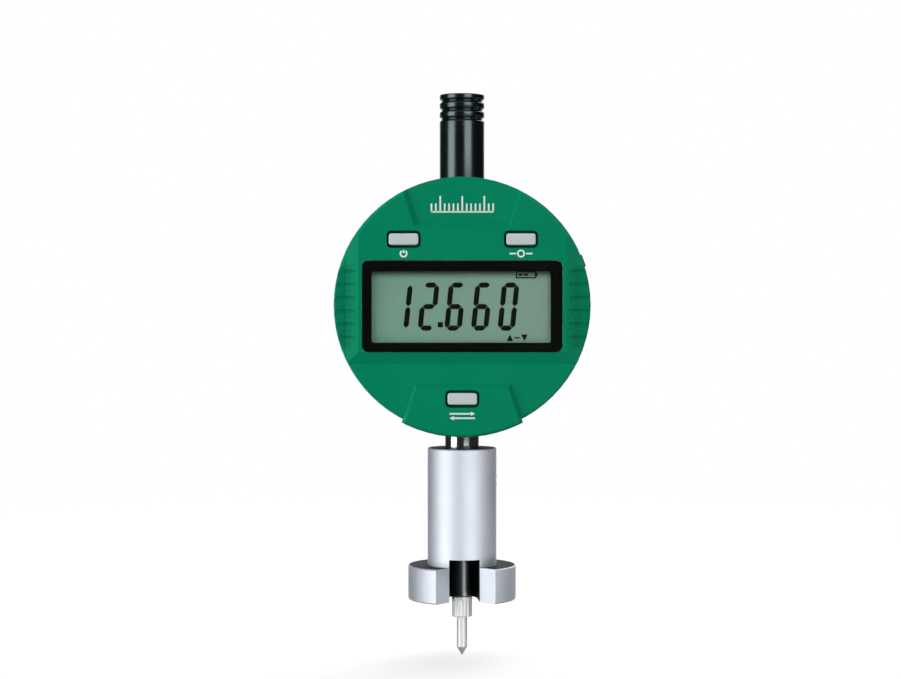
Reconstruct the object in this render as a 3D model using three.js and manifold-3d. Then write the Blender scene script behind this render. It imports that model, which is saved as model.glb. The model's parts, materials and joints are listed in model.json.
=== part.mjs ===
// Surface profile gauge: a digital indicator with a needle contact, standing on a notched foot.
// Millimetres, +Z up. The spindle's axis is x = y = 0, the needle's tip at rest is z = 0,
// and the display faces -Y.
import * as THREE from 'three';
import { mergeVertices } from 'three/addons/utils/BufferGeometryUtils.js';
import Module from 'manifold-3d';

const wasm = await Module();
wasm.setup();

// Clearances
const fitClearance = 0.05; // radial, where one piece is pressed or screwed into another
const runningClearance = 0.06; // radial, where one piece slides or turns in another
const seatGap = 0.05; // between two faces that rest on each other
const turnedGap = 0.1; // between faces that rest on each other and are turned
const edgeGap = 0.12; // round a piece that lies in a recess
const cutOverrun = 1; // how far a cutter runs past the face that it cuts

// Facets round a full turn, and steps in a corner
const caseFacets = 72;
const barrelFacets = 48;
const shaftFacets = 32;
const pinFacets = 16;
const screwFacets = 10;
const driveSides = 6; // of the screws' drive recesses
const fluteFacets = 8;
const cornerSteps = 3;
const sealSides = 6;

// Heights that set the whole gauge
const needleProjection = 13.2; // from the needle's tip up to the foot's face
const footThickness = 7.9;
const baseHeight = 35;
const stemShowing = 3.35; // bare stem between the base and the case
const caseDiameter = 59.5;
const capRise = 19.25; // the cap's top above the case
const spindleTravel = 13.2;

// Case
const caseDepth = 25;
const coverThickness = 3.5;
const reliefHeight = 1; // raised panels above the field
const panelThickness = 1.6; // front wall behind the field
const caseWall = 2;
const rimDraft = 0.55; // the rim is this much smaller at the front
const rimDraftDepth = 9.5;
const rimFillet = 0.6;
const panelFillet = 0.8; // front edge of the raised panels at the rim
const lipProud = 0.25; // how far the lower raised panel reaches past the rim
const plateauBesideWindow = 0.85;
const plateauBelowCentre = 10.6;
const plateauSlope = 2.8; // width of the slope round the plateau
const trapezoidHalfWidth = 10.75; // at its end nearest the centre
const trapezoidFromCentre = 18.2;
const trapezoidFlare = 0.335; // how far its sides open out for each unit of height
const trapezoidSlope = 0.8;
const gripGrooves = 6;
const gripPitch = 3;
const gripGrooveRadius = 1.8;
const gripGrooveDepth = 0.3;
const gripUpSlope = 2.2; // how far a groove runs up the plateau's slope
const gripBelowCentre = 0.4;

// Window and display
const lensWidth = 45.5;
const lensHeight = 20.85;
const lensThickness = 1.2;
const lensRecess = 0.3; // below the plateau
const lensCorner = 1.4;
const lensEdgeGap = 0.08;
const windowBelowCentre = 0.25;
const maskBorderX = 2.42; // black border round the clear area
const maskBorderZ = 2.3;
const viewCorner = 0.5;
const viewBelowWindow = 0.15;
const viewLeftOfWindow = 0.25;
const maskThickness = 0.15;
const windowLedge = 1.45; // ledge that the window lies on
const lcdBehindX = 1.35; // how far the display reaches behind the border
const lcdBehindZ = 1.3;
const lcdThickness = 1.8;
const holderWall = 1.4;
const zebraHeight = 1.2;
const zebraWidth = 1.6;
const zebraEndGap = 2.8;

// Buttons and switches
const buttonWidth = 6.7;
const buttonHeight = 2.65;
const buttonCorner = 0.6;
const buttonPocketGapX = 0.5;
const buttonPocketGapZ = 0.65;
const buttonProud = 0.3;
const buttonFlange = 0.5; // how far the flange reaches past the pocket
const buttonFlangeThickness = 0.7;
const buttonTravel = 0.5;
const upperButtonFromPlateauEdge = 10.3;
const upperButtonAbove = 14.95;
const lowerButtonBelow = 21.25;
const switchWidth = 4.4;
const switchHeight = 3;
const switchBody = 0.7;
const switchPlunger = 0.25;
const switchPlungerRadius = 0.9;

// Circuit board
const boardThickness = 1.2;
const boardEdgeGap = 3.25; // from the case's inner wall
const boardTopAbove = 18.2;
const boardBottomBelow = 16.5;
const boardTongueHalfWidth = 6.5;
const boardPostRadius = 2;
const boardPostBesideFrame = 1.5;
const boardPostAbove = 14.5;
const boardPostBelow = 14;
const chipSize = 7;
const chipThickness = 1;
const chipX = -16;
const chipAbove = 5;
const linkWidth = 8;
const linkHeight = 3;
const linkBelow = 12;

// Case screws
const bossRadius = 2.7;
const bossIntoWall = 0.15;
const bossAngle = 35; // degrees above and below the horizontal
const coverScrewShank = 1;
const coverScrewLength = 10;
const coverScrewHead = 2;
const coverScrewHeadHeight = 1.4;
const coverScrewSink = 0.15; // head below the cover's face

// Small screws inside
const boardScrewShank = 0.8;
const boardScrewLength = 3.4;
const boardScrewHead = 1.5;
const boardScrewHeadHeight = 1;
const frameScrewShank = 0.95;
const frameScrewHead = 1.8;
const frameScrewHeadHeight = 1.3;
const frameScrewGrip = 3.4; // thread in the case's post
const sensorScrewLength = 3;
const screwDriveShare = 0.55; // drive recess across, as a share of the head
const screwDriveDepthShare = 0.5;

// Inner frame
const frameHalfWidth = 13;
const frameBlockHeight = 4;
const frameCaseGap = 0.75;
const frameFront = 5; // the blocks' front, ahead of the spindle's axis
const barFront = 3.4;
const frameBack = 7; // behind the axis
const frameBarWidth = 3;
const framePostFromSide = 2;
const framePostRadius = 2.2;

// Stem and bushes
const stemDiameter = 8;
const stemBore = 6.4;
const stemEngagement = 14.2; // stem inside the base
const stemFlangeRadius = 6;
const stemFlangeThickness = 2.5;
const stemIntoBlockShare = 0.6;
const lowerBushLength = 8;
const upperBushDiameter = 7.6;
const upperBushFlangeRadius = 4.8;
const upperBushFlangeThickness = 2;
const upperBushThread = 4; // screwed into the cap

// Spindle and contact
const spindleDiameter = 4.75;
const spindleCapGap = 0.8; // from the raised spindle to the cap's inner end
const spindleChamfer = 0.4;
const collarBottom = 9.1;
const collarLength = 4.7;
const collarFlutes = 12;
const fluteRadius = 0.35;
const fluteDepth = 0.18;
const needleDiameter = 2.4;
const needleConeHeight = 2;
const needleTipRadius = 0.05;
const studDiameter = 2.5;
const studLength = 5;
const studHoleExtra = 0.5;

// Carrier, scale, guide and spring
const carrierHeight = 11;
const carrierFront = 2.5;
const carrierBack = 4.5;
const carrierRight = 6;
const carrierBarGap = 0.4; // from the carrier to the frame's bar
const carrierScrewHead = 1.7;
const carrierScrewHeadHeight = 1.2;
const carrierScrewShank = 1;
const scaleWidth = 10;
const scaleLength = 20;
const scaleThickness = 0.6;
const sensorRight = 7;
const sensorThickness = 0.8;
const sensorScrewFromEnd = 4;
const springSideGap = 0.45; // from the spring to the frame's bar
const guideRodDiameter = 2.5;
const guideRodEndGap = 0.3;
const bumperRadius = 2.1;
const bumperThickness = 1.2;
const springWire = 0.4;
const springRadius = 1.85; // of the wire's centre
const springTurns = 14;
const springStepsPerTurn = 8;
const springSides = 5;
const springLeastGap = 0.4;

// Battery
const cellDiameter = 11.6;
const cellThickness = 5.4;
const cellX = 16;
const cellGap = 0.6; // round the cell, room for the contact strip
const cellEndGap = 0.1;
const contactThickness = 0.3;
const contactRadius = 4;
const contactStripHalfWidth = 0.9;
const holderCupWall = 0.8;
const holderFloor = 1;
const holderLegRadius = 1.2;
const holderLegSpread = 4.5;
const doorRadius = 7.65;
const doorRunningGap = 0.1;
const doorLugThickness = 0.8;
const doorLugReach = 1;
const doorLugHalfAngle = 14; // degrees
const doorOpenAngle = 45; // degrees
const doorGrooveFromFace = 1.4;
const sealRadius = 0.38;
const coinSlotLength = 9;
const coinSlotWidth = 1.5;
const coinSlotDepth = 1.3;

// Gasket
const gasketWidth = 0.8;
const gasketDepth = 0.75;
const spigotWidth = 1.3;
const spigotHeight = 1.2;

// Data port
const portAngle = 20.3; // degrees above the horizontal
const portFlangeHeight = 3;
const portFlangeLength = 11;
const portFlangeThickness = 1;
const portProud = 0.45;
const portPlugHeight = 1.8;
const portPlugLength = 8.4;
const portPlugDepth = 1.2;
const connectorDepth = 2.8;

// Dust cap
const capDiameter = 10.4;
const capTopWall = 1.7;
const capBore = 5.8;
const capEdge = 0.3;
const capDome = 0.15; // the top's rise from its edge to its middle
const capGrooves = 3;
const capGroovePitch = 2.1;
const capFirstGroove = 1.7; // below the cap's top
const capGrooveDepth = 0.5;
const capGrooveHalfHeight = 0.6;
const capSeatDepth = 0.85; // flat spot in the case's rim
const capSeatMargin = 0.3;

// Base
const footDiameter = 25;
const footEdge = 0.25;
const barrelDiameter = 16;
const barrelEdge = 0.2;
const baseBore = 7;
const slotWidth = 7;
const slotAboveFoot = 1.8;
const notchOpening = 90; // degrees
const baseTurn = 4.3; // degrees, the notch is turned towards +X
const stemShoulderGap = 0.5;
const grubAbove = 27.4; // above the foot's face
const grubRadius = 2;
const grubSink = 0.1; // its outer end below the barrel's surface
const grubSocketRadius = 1.15;
const grubSocketDepth = 2;

// Widths that follow from others
const viewWidth = lensWidth - maskBorderX * 2; // clear area inside the black border
const viewHeight = lensHeight - maskBorderZ * 2;
const lcdWidth = viewWidth + lcdBehindX * 2;
const lcdHeight = viewHeight + lcdBehindZ * 2;
const zebraLength = lcdWidth - zebraEndGap * 2;
const plateauHalfWidth = lensWidth / 2 + plateauBesideWindow;
const upperButtonX = plateauHalfWidth - upperButtonFromPlateauEdge;
const framePostX = frameHalfWidth - framePostFromSide;
const boardPostX = frameHalfWidth + boardPostBesideFrame;
const guideRodX = frameHalfWidth - frameBarWidth - springRadius - springWire / 2 - springSideGap;
const carrierLeft = frameHalfWidth - frameBarWidth - carrierBarGap;

// Heights
const half = (length) => length / 2;
const stemRadius = half(stemDiameter);
const spindleRadius = half(spindleDiameter);
const needleRadius = half(needleDiameter);
const guideRodRadius = half(guideRodDiameter);
const capRadius = half(capDiameter);
const caseRadius = half(caseDiameter);
const upperBushRadius = half(upperBushDiameter);
const cellRadius = half(cellDiameter);
const barrelRadius = half(barrelDiameter);
const footRadius = half(footDiameter);
const innerRadius = caseRadius - caseWall;
const footFaceZ = needleProjection;
const footTopZ = footFaceZ + footThickness;
const barrelTopZ = footFaceZ + baseHeight;
const caseBottomZ = barrelTopZ + stemShowing;
const caseCentreZ = caseBottomZ + caseRadius;
const caseTopZ = caseCentreZ + caseRadius;
const capTopZ = caseTopZ + capRise;
const stemBottomZ = barrelTopZ - stemEngagement;
const windowZ = caseCentreZ - windowBelowCentre;
const viewZ = windowZ - viewBelowWindow;
const spindleTopZ = capTopZ - capTopWall - spindleCapGap - spindleTravel;
const collarTopZ = collarBottom + collarLength;

// Depths, front to back
const faceY = -half(caseDepth);
const backY = half(caseDepth);
const fieldY = faceY + reliefHeight;
const panelBackY = fieldY + panelThickness;
const coverSeatY = backY - coverThickness;
const lensFrontY = faceY + lensRecess;
const lensBackY = lensFrontY + lensThickness;
const maskBackY = lensBackY + maskThickness;
const lcdFrontY = panelBackY + seatGap;
const lcdBackY = lcdFrontY + lcdThickness;
const boardFrontY = lcdBackY + zebraHeight + seatGap;
const boardBackY = boardFrontY + boardThickness;
const switchFrontY = boardFrontY - switchBody - switchPlunger;
const frameFrontY = -frameFront;
const sensorBackY = -barFront - seatGap;
const sensorFrontY = sensorBackY - sensorThickness;
const carrierFrontY = -carrierFront;
const scaleBackY = carrierFrontY - seatGap;
const doorInnerY = coverSeatY - seatGap - doorLugThickness;
const cellBackY = doorInnerY - cellEndGap;
const cellFrontY = cellBackY - cellThickness;
const holderFloorY = cellFrontY - contactThickness - seatGap * 2;

// The frame's blocks reach as far up and down as the round wall lets their corners go
const frameReach = Math.sqrt((innerRadius - frameCaseGap) ** 2 - frameHalfWidth ** 2);
const upperBlockZ = caseCentreZ + frameReach - frameBlockHeight;
const lowerBlockZ = caseCentreZ - frameReach;
const lowerBlockTopZ = lowerBlockZ + frameBlockHeight;
const upperBlockTopZ = upperBlockZ + frameBlockHeight;
const carrierZ = lowerBlockTopZ + bumperThickness + seatGap * 2;
const carrierTopZ = carrierZ + carrierHeight;
const bossOffset = innerRadius + bossIntoWall - bossRadius;
const boardRadius = innerRadius - boardEdgeGap;

// Solids from three.js geometries
const radians = THREE.MathUtils.degToRad;

function signedVolume(positions, indices) {
  const a = new THREE.Vector3();
  const b = new THREE.Vector3();
  const c = new THREE.Vector3();
  let total = 0;
  for (let i = 0; i < indices.length; i += 3) {
    a.fromArray(positions, indices[i] * 3);
    b.fromArray(positions, indices[i + 1] * 3);
    c.fromArray(positions, indices[i + 2] * 3);
    total += a.dot(b.cross(c));
  }
  return total;
}

function solid(geometry) {
  const bare = geometry.clone();
  bare.deleteAttribute('normal');
  bare.deleteAttribute('uv');
  const merged = mergeVertices(bare);
  const positions = merged.attributes.position.array;
  const indices = [];
  for (let i = 0; i < merged.index.count; i += 3) {
    const corners = [merged.index.getX(i), merged.index.getX(i + 1), merged.index.getX(i + 2)];
    if (new Set(corners).size === corners.length) {
      indices.push(...corners);
    }
  }
  if (signedVolume(positions, indices) < 0) {
    indices.reverse();
  }
  return new wasm.Manifold(new wasm.Mesh({
    numProp: 3,
    vertProperties: positions,
    triVerts: new Uint32Array(indices),
  }));
}

function join(first, ...others) {
  return others.reduce((whole, piece) => whole.add(piece), first);
}

function cut(body, ...cutters) {
  return cutters.reduce((whole, piece) => whole.subtract(piece), body);
}

function box(low, high) {
  const size = high.map((value, i) => value - low[i]);
  const geometry = new THREE.BoxGeometry(...size);
  geometry.translate(...low.map((value, i) => value + half(size[i])));
  return solid(geometry);
}

// A profile of [radius, height] points turned about Z
function turned(profile, facets) {
  const points = profile.map(([radius, height]) => new THREE.Vector2(radius, height));
  const geometry = new THREE.LatheGeometry(points, facets);
  geometry.rotateX(half(Math.PI));
  return solid(geometry);
}

// The same about a line along Y through the given height
function turnedAlongY(profile, x, z, facets) {
  const points = profile.map(([radius, y]) => new THREE.Vector2(radius, y));
  const geometry = new THREE.LatheGeometry(points, facets);
  geometry.translate(x, 0, z);
  return solid(geometry);
}

function rod(radius, fromZ, toZ, facets, x = 0, y = 0) {
  return turned([[0, fromZ], [radius, fromZ], [radius, toZ], [0, toZ]], facets).translate([x, y, 0]);
}

function rodAlongY(radius, x, z, fromY, toY, facets) {
  return turnedAlongY([[0, fromY], [radius, fromY], [radius, toY], [0, toY]], x, z, facets);
}

function rodAlongX(radius, fromX, toX, y, z, facets) {
  const geometry = new THREE.CylinderGeometry(radius, radius, toX - fromX, facets);
  geometry.rotateZ(half(Math.PI));
  geometry.translate(half(fromX + toX), y, z);
  return solid(geometry);
}

// An outline in x and z, extruded along Y
function plate(shape, fromY, toY) {
  const geometry = new THREE.ExtrudeGeometry(shape, {
    depth: toY - fromY,
    bevelEnabled: false,
    curveSegments: cornerSteps,
  });
  geometry.rotateX(half(Math.PI));
  geometry.translate(0, toY, 0);
  return solid(geometry);
}

// The same with sides that slope outwards, from the given outline at slopeY to a larger one at
// fullY, and then run straight on to endY
function slopedPlate(shape, slopeY, fullY, endY, slopeWidth) {
  const geometry = new THREE.ExtrudeGeometry(shape, {
    depth: Math.abs(endY - fullY),
    bevelEnabled: true,
    bevelThickness: Math.abs(fullY - slopeY),
    bevelSize: slopeWidth,
    bevelSegments: 1,
    curveSegments: cornerSteps,
  });
  geometry.rotateX(half(Math.PI));
  geometry.translate(0, Math.max(fullY, endY), 0);
  return solid(geometry);
}

function roundedRectangle(width, height, corner, x, z) {
  const shape = new THREE.Shape();
  const right = x + half(width) - corner;
  const left = x - half(width) + corner;
  const top = z + half(height) - corner;
  const bottom = z - half(height) + corner;
  shape.absarc(right, bottom, corner, -half(Math.PI), 0, false);
  shape.absarc(right, top, corner, 0, half(Math.PI), false);
  shape.absarc(left, top, corner, half(Math.PI), Math.PI, false);
  shape.absarc(left, bottom, corner, Math.PI, Math.PI + half(Math.PI), false);
  shape.closePath();
  return shape;
}

// A screw along Y, its head towards +Y, with a six-sided drive recess
function screwAlongY(x, z, seatY, shank, length, head, headHeight) {
  const profile = [
    [0, seatY - length],
    [shank, seatY - length],
    [shank, seatY],
    [head, seatY],
    [head, seatY + headHeight],
    [0, seatY + headHeight],
  ];
  const body = turnedAlongY(profile, x, z, screwFacets);
  const driveFloor = seatY + headHeight * (1 - screwDriveDepthShare);
  const driveTop = seatY + headHeight + cutOverrun;
  const drive = rodAlongY(head * screwDriveShare, x, z, driveFloor, driveTop, driveSides);
  return cut(body, drive);
}

// A place on the case's rim at an angle above the horizontal: +X there points outwards
function atRim(body, angle) {
  return body.rotate([0, -angle, 0]).translate([0, 0, caseCentreZ]);
}

function onCircle(radius, angle) {
  return [radius * Math.cos(radians(angle)), caseCentreZ + radius * Math.sin(radians(angle))];
}

// Materials
function material(color, roughness, metalness, options = {}) {
  return new THREE.MeshStandardMaterial({ color, roughness, metalness, ...options });
}

const greenShell = material(0x04815f, 0.45, 0);
const blackPlastic = material(0x14181a, 0.4, 0);
const darkPlastic = material(0x2a2d30, 0.6, 0);
const blackAnodised = material(0x0b0f11, 0.28, 0.4);
const clearPlastic = material(0xe8f4f0, 0.08, 0, { transparent: true, opacity: 0.35 });
const blackInk = material(0x050905, 0.3, 0);
const displayGlass = material(0x7f9f8c, 0.25, 0);
const greyButton = material(0xc0cbcb, 0.4, 0);
const satinSteel = material(0xb9c2c9, 0.35, 1);
const polishedSteel = material(0xd5dadd, 0.12, 1);
const brassMetal = material(0xc2a05a, 0.3, 1);
const castAlloy = material(0x9aa0a3, 0.5, 1);
const boardGreen = material(0x1f5a3a, 0.5, 0);
const scaleGlass = material(0xb8a25a, 0.3, 0.2);
const blackRubber = material(0x17191a, 0.8, 0);
const greyRubber = material(0x3a4044, 0.75, 0);
const nickelSteel = material(0xc9ccce, 0.2, 1);

const gauge = new THREE.Group();

function addPiece(name, body, finish, parent = gauge) {
  const data = body.getMesh();
  const geometry = new THREE.BufferGeometry();
  geometry.setAttribute('position', new THREE.BufferAttribute(data.vertProperties, data.numProp));
  geometry.setIndex(new THREE.BufferAttribute(data.triVerts, 1));
  const mesh = new THREE.Mesh(geometry, finish);
  mesh.name = name;
  parent.add(mesh);
}

// Places that several pieces share
const bossAngles = [bossAngle, 180 - bossAngle, 180 + bossAngle, -bossAngle];
const bossPlaces = bossAngles.map((angle) => onCircle(bossOffset, angle));
const blockMiddles = [lowerBlockZ + half(frameBlockHeight), upperBlockZ + half(frameBlockHeight)];
const framePosts = blockMiddles.flatMap((z) => [[-framePostX, z], [framePostX, z]]);
const boardPosts = [
  [0, caseCentreZ + boardPostAbove],
  [-boardPostX, caseCentreZ - boardPostBelow],
  [boardPostX, caseCentreZ - boardPostBelow],
];
const buttonPlaces = {
  left: [-upperButtonX, caseCentreZ + upperButtonAbove],
  right: [upperButtonX, caseCentreZ + upperButtonAbove],
  lower: [0, caseCentreZ - lowerButtonBelow],
};
const barMiddleX = half(frameBarWidth) - frameHalfWidth;
const sensorBottomZ = lowerBlockTopZ + seatGap;
const sensorTopZ = upperBlockZ - seatGap;
const sensorScrewPlaces = [
  [barMiddleX, sensorBottomZ + sensorScrewFromEnd],
  [barMiddleX, sensorTopZ - sensorScrewFromEnd],
];

// Front case
function frontEdge(radius, frontY, fillet) {
  const points = [];
  for (let step = 0; step <= cornerSteps; step += 1) {
    const turn = half(Math.PI) * (step / cornerSteps);
    points.push([radius - fillet * (1 - Math.sin(turn)), frontY + fillet * (1 - Math.cos(turn))]);
  }
  return points;
}

function rimProfile() {
  return [
    [0, fieldY],
    ...frontEdge(caseRadius - rimDraft, fieldY, rimFillet),
    [caseRadius, fieldY + rimDraftDepth],
    [caseRadius, coverSeatY],
    [0, coverSeatY],
  ];
}

// What a raised panel is trimmed to at the rim
function panelLimit(radius) {
  const profile = [
    [0, faceY],
    ...frontEdge(radius, faceY, panelFillet),
    [radius, coverSeatY],
    [0, coverSeatY],
  ];
  return turnedAlongY(profile, 0, caseCentreZ, caseFacets);
}

function plateauOutline() {
  const reach = caseRadius + plateauSlope;
  const shape = new THREE.Shape();
  shape.moveTo(-plateauHalfWidth, caseCentreZ - plateauBelowCentre);
  shape.lineTo(plateauHalfWidth, caseCentreZ - plateauBelowCentre);
  shape.lineTo(plateauHalfWidth, caseCentreZ + reach);
  shape.lineTo(-plateauHalfWidth, caseCentreZ + reach);
  shape.closePath();
  return shape;
}

// The same trapezoid is sunk at the top, where side is 1, and raised at the bottom, where it is -1
function trapezoidOutline(side, inset) {
  const start = trapezoidFromCentre + inset;
  const reach = caseRadius + trapezoidSlope;
  const startHalf = trapezoidHalfWidth - inset;
  const reachHalf = startHalf + (reach - start) * trapezoidFlare;
  const shape = new THREE.Shape();
  shape.moveTo(-startHalf, caseCentreZ + side * start);
  shape.lineTo(startHalf, caseCentreZ + side * start);
  shape.lineTo(reachHalf, caseCentreZ + side * reach);
  shape.lineTo(-reachHalf, caseCentreZ + side * reach);
  shape.closePath();
  return shape;
}

function raisedPanels() {
  const plateau = slopedPlate(plateauOutline(), faceY, fieldY, fieldY + panelThickness, plateauSlope);
  const sunkOutline = trapezoidOutline(1, half(trapezoidSlope));
  const sunk = slopedPlate(sunkOutline, fieldY, faceY, faceY - cutOverrun, trapezoidSlope);
  const raisedOutline = trapezoidOutline(-1, half(trapezoidSlope));
  const raised = slopedPlate(raisedOutline, faceY, fieldY, fieldY + panelThickness, trapezoidSlope);
  const upper = plateau.intersect(panelLimit(caseRadius - rimDraft));
  return join(cut(upper, sunk), raised.intersect(panelLimit(caseRadius + lipProud)));
}

// Grooves across the field at both sides, that run on up the slope of the plateau
function gripCutters() {
  const axisInFront = gripGrooveRadius - gripGrooveDepth;
  const slopeAngle = Math.atan(reliefHeight / plateauSlope);
  const slopeFootX = plateauHalfWidth + plateauSlope;
  const outer = caseRadius + cutOverrun;
  const cutters = [];
  for (let index = 0; index < gripGrooves; index += 1) {
    const above = (half(gripGrooves - 1) - index) * gripPitch - gripBelowCentre;
    const z = caseCentreZ + above;
    const onField = rodAlongX(gripGrooveRadius, slopeFootX, outer, fieldY - axisInFront, z, shaftFacets);
    const onSlope = rodAlongX(gripGrooveRadius, -gripUpSlope, gripGrooveDepth, 0, 0, shaftFacets)
      .rotate([0, 0, THREE.MathUtils.radToDeg(slopeAngle)])
      .translate([
        slopeFootX + axisInFront * Math.sin(slopeAngle),
        fieldY - axisInFront * Math.cos(slopeAngle),
        z,
      ]);
    const groove = join(onField, onSlope);
    cutters.push(groove, groove.mirror([1, 0, 0]));
  }
  return cutters;
}

function buttonPocket([x, z]) {
  const width = buttonWidth + buttonPocketGapX * 2;
  const height = buttonHeight + buttonPocketGapZ * 2;
  const outline = roundedRectangle(width, height, buttonCorner + buttonPocketGapX, x, z);
  return plate(outline, faceY - cutOverrun, panelBackY + cutOverrun);
}

function portCutters() {
  const seat = caseRadius + portProud - portFlangeThickness - turnedGap;
  const flangeHalf = half(portFlangeHeight) + edgeGap;
  const flangeLong = half(portFlangeLength) + edgeGap;
  const recess = box([seat, -flangeLong, -flangeHalf], [caseRadius + cutOverrun, flangeLong, flangeHalf]);
  const plugHalf = half(portPlugHeight) + edgeGap;
  const plugLong = half(portPlugLength) + edgeGap;
  const slot = box([innerRadius - cutOverrun, -plugLong, -plugHalf], [caseRadius, plugLong, plugHalf]);
  return [atRim(recess, portAngle), atRim(slot, portAngle)];
}

function frontCase() {
  const outer = turnedAlongY(rimProfile(), 0, caseCentreZ, caseFacets);
  const hollow = rodAlongY(innerRadius, 0, caseCentreZ, panelBackY, coverSeatY + cutOverrun, caseFacets);
  const shell = cut(join(outer, raisedPanels()), hollow);
  const insidePanelY = half(fieldY + panelBackY);
  const bosses = bossPlaces.map(
    ([x, z]) => rodAlongY(bossRadius, x, z, insidePanelY, coverSeatY, pinFacets));
  const posts = framePosts.map(
    ([x, z]) => rodAlongY(framePostRadius, x, z, insidePanelY, frameFrontY - seatGap, pinFacets));
  const boardStands = boardPosts.map(
    ([x, z]) => rodAlongY(boardPostRadius, x, z, insidePanelY, boardFrontY - seatGap, pinFacets));
  const solidCase = join(shell, ...bosses, ...posts, ...boardStands);
  const lensOutline = roundedRectangle(
    lensWidth + lensEdgeGap * 2, lensHeight + lensEdgeGap * 2, lensCorner + lensEdgeGap, 0, windowZ);
  const opening = roundedRectangle(
    lensWidth - windowLedge * 2, lensHeight - windowLedge * 2, lensCorner, 0, windowZ);
  const bossHoles = bossPlaces.map(([x, z]) => rodAlongY(
    coverScrewShank + fitClearance, x, z,
    coverSeatY - coverScrewLength, coverSeatY + cutOverrun, screwFacets));
  const postHoles = framePosts.map(([x, z]) => rodAlongY(
    frameScrewShank + fitClearance, x, z,
    frameFrontY - frameScrewGrip - half(cutOverrun), frameFrontY + cutOverrun, screwFacets));
  const standHoles = boardPosts.map(([x, z]) => rodAlongY(
    boardScrewShank + fitClearance, x, z,
    panelBackY + fitClearance, boardFrontY + cutOverrun, screwFacets));
  const grooveMiddle = half(innerRadius + caseRadius);
  const grooveHalf = half(gasketWidth) + fitClearance;
  const gasketGroove = turnedAlongY([
    [grooveMiddle - grooveHalf, coverSeatY - gasketDepth - fitClearance],
    [grooveMiddle + grooveHalf, coverSeatY - gasketDepth - fitClearance],
    [grooveMiddle + grooveHalf, coverSeatY + cutOverrun],
    [grooveMiddle - grooveHalf, coverSeatY + cutOverrun],
    [grooveMiddle - grooveHalf, coverSeatY - gasketDepth - fitClearance],
  ], 0, caseCentreZ, caseFacets);
  return cut(
    solidCase,
    plate(lensOutline, faceY - cutOverrun, maskBackY + seatGap),
    plate(opening, faceY - cutOverrun, panelBackY + cutOverrun),
    ...Object.values(buttonPlaces).map(buttonPocket),
    ...gripCutters(),
    ...portCutters(),
    ...bossHoles,
    ...postHoles,
    ...standHoles,
    gasketGroove,
    rod(stemRadius + fitClearance, caseBottomZ - cutOverrun, caseCentreZ - frameReach, shaftFacets),
    rod(upperBushRadius + fitClearance, upperBlockTopZ, caseTopZ + cutOverrun, shaftFacets),
    rod(capRadius + capSeatMargin, caseTopZ - capSeatDepth, caseTopZ + cutOverrun, shaftFacets),
  );
}

// Rear cover
function rearCover() {
  const edge = rimFillet;
  const disc = turnedAlongY([
    [0, coverSeatY],
    [caseRadius, coverSeatY],
    [caseRadius, backY - edge],
    [caseRadius - edge, backY],
    [0, backY],
  ], 0, caseCentreZ, caseFacets);
  const spigotOuter = innerRadius - fitClearance * 2;
  const spigot = turnedAlongY([
    [spigotOuter - spigotWidth, coverSeatY - spigotHeight],
    [spigotOuter, coverSeatY - spigotHeight],
    [spigotOuter, coverSeatY + fitClearance],
    [spigotOuter - spigotWidth, coverSeatY + fitClearance],
    [spigotOuter - spigotWidth, coverSeatY - spigotHeight],
  ], 0, caseCentreZ, caseFacets);
  const bossRoom = bossPlaces.map(([x, z]) => rodAlongY(
    bossRadius + edgeGap, x, z, coverSeatY - spigotHeight - cutOverrun, coverSeatY, pinFacets));
  const headSeat = backY - coverScrewSink - coverScrewHeadHeight;
  const screwHoles = bossPlaces.flatMap(([x, z]) => [
    rodAlongY(coverScrewShank + fitClearance, x, z, coverSeatY - cutOverrun, backY, screwFacets),
    rodAlongY(coverScrewHead + edgeGap, x, z, headSeat - seatGap, backY + cutOverrun, screwFacets),
  ]);
  const doorHole = rodAlongY(
    doorRadius + doorRunningGap, cellX, caseCentreZ,
    coverSeatY - cutOverrun, backY + cutOverrun, barrelFacets);
  const lugWays = doorLugs(doorRadius + doorLugReach + doorRunningGap * 2, doorRunningGap * 2)
    .map((lug) => turnedAboutCell(lug, doorOpenAngle));
  return cut(disc.add(cut(spigot, ...bossRoom)), ...screwHoles, doorHole, ...lugWays);
}

// Two lugs on the door, also used with an allowance to cut their ways through the cover
function doorLugs(outerRadius, allowance) {
  const fromY = allowance ? coverSeatY - cutOverrun : doorInnerY;
  const toY = allowance ? coverSeatY + doorLugThickness * 2 : coverSeatY - seatGap;
  const spread = radians(doorLugHalfAngle) + allowance / doorRadius;
  return [0, Math.PI].map((middle) => {
    const shape = new THREE.Shape();
    shape.absarc(cellX, caseCentreZ, outerRadius, middle - spread, middle + spread, false);
    shape.absarc(cellX, caseCentreZ, half(doorRadius), middle + spread, middle - spread, true);
    shape.closePath();
    return plate(shape, fromY, toY);
  });
}

function turnedAboutCell(body, angle) {
  return body.translate([-cellX, 0, -caseCentreZ]).rotate([0, -angle, 0]).translate([cellX, 0, caseCentreZ]);
}

function batteryCover() {
  const grooveY = backY - doorGrooveFromFace - sealRadius * 2;
  const grooveFloor = doorRadius - sealRadius * 2;
  const disc = turnedAlongY([
    [0, doorInnerY],
    [doorRadius, doorInnerY],
    [doorRadius, grooveY - fitClearance],
    [grooveFloor, grooveY - fitClearance],
    [grooveFloor, grooveY + sealRadius * 2 + fitClearance],
    [doorRadius, grooveY + sealRadius * 2 + fitClearance],
    [doorRadius, backY],
    [0, backY],
  ], cellX, caseCentreZ, shaftFacets);
  const coinSlot = box(
    [cellX - half(coinSlotLength), backY - coinSlotDepth, caseCentreZ - half(coinSlotWidth)],
    [cellX + half(coinSlotLength), backY + cutOverrun, caseCentreZ + half(coinSlotWidth)],
  );
  return cut(join(disc, ...doorLugs(doorRadius + doorLugReach, 0)), coinSlot);
}

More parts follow.
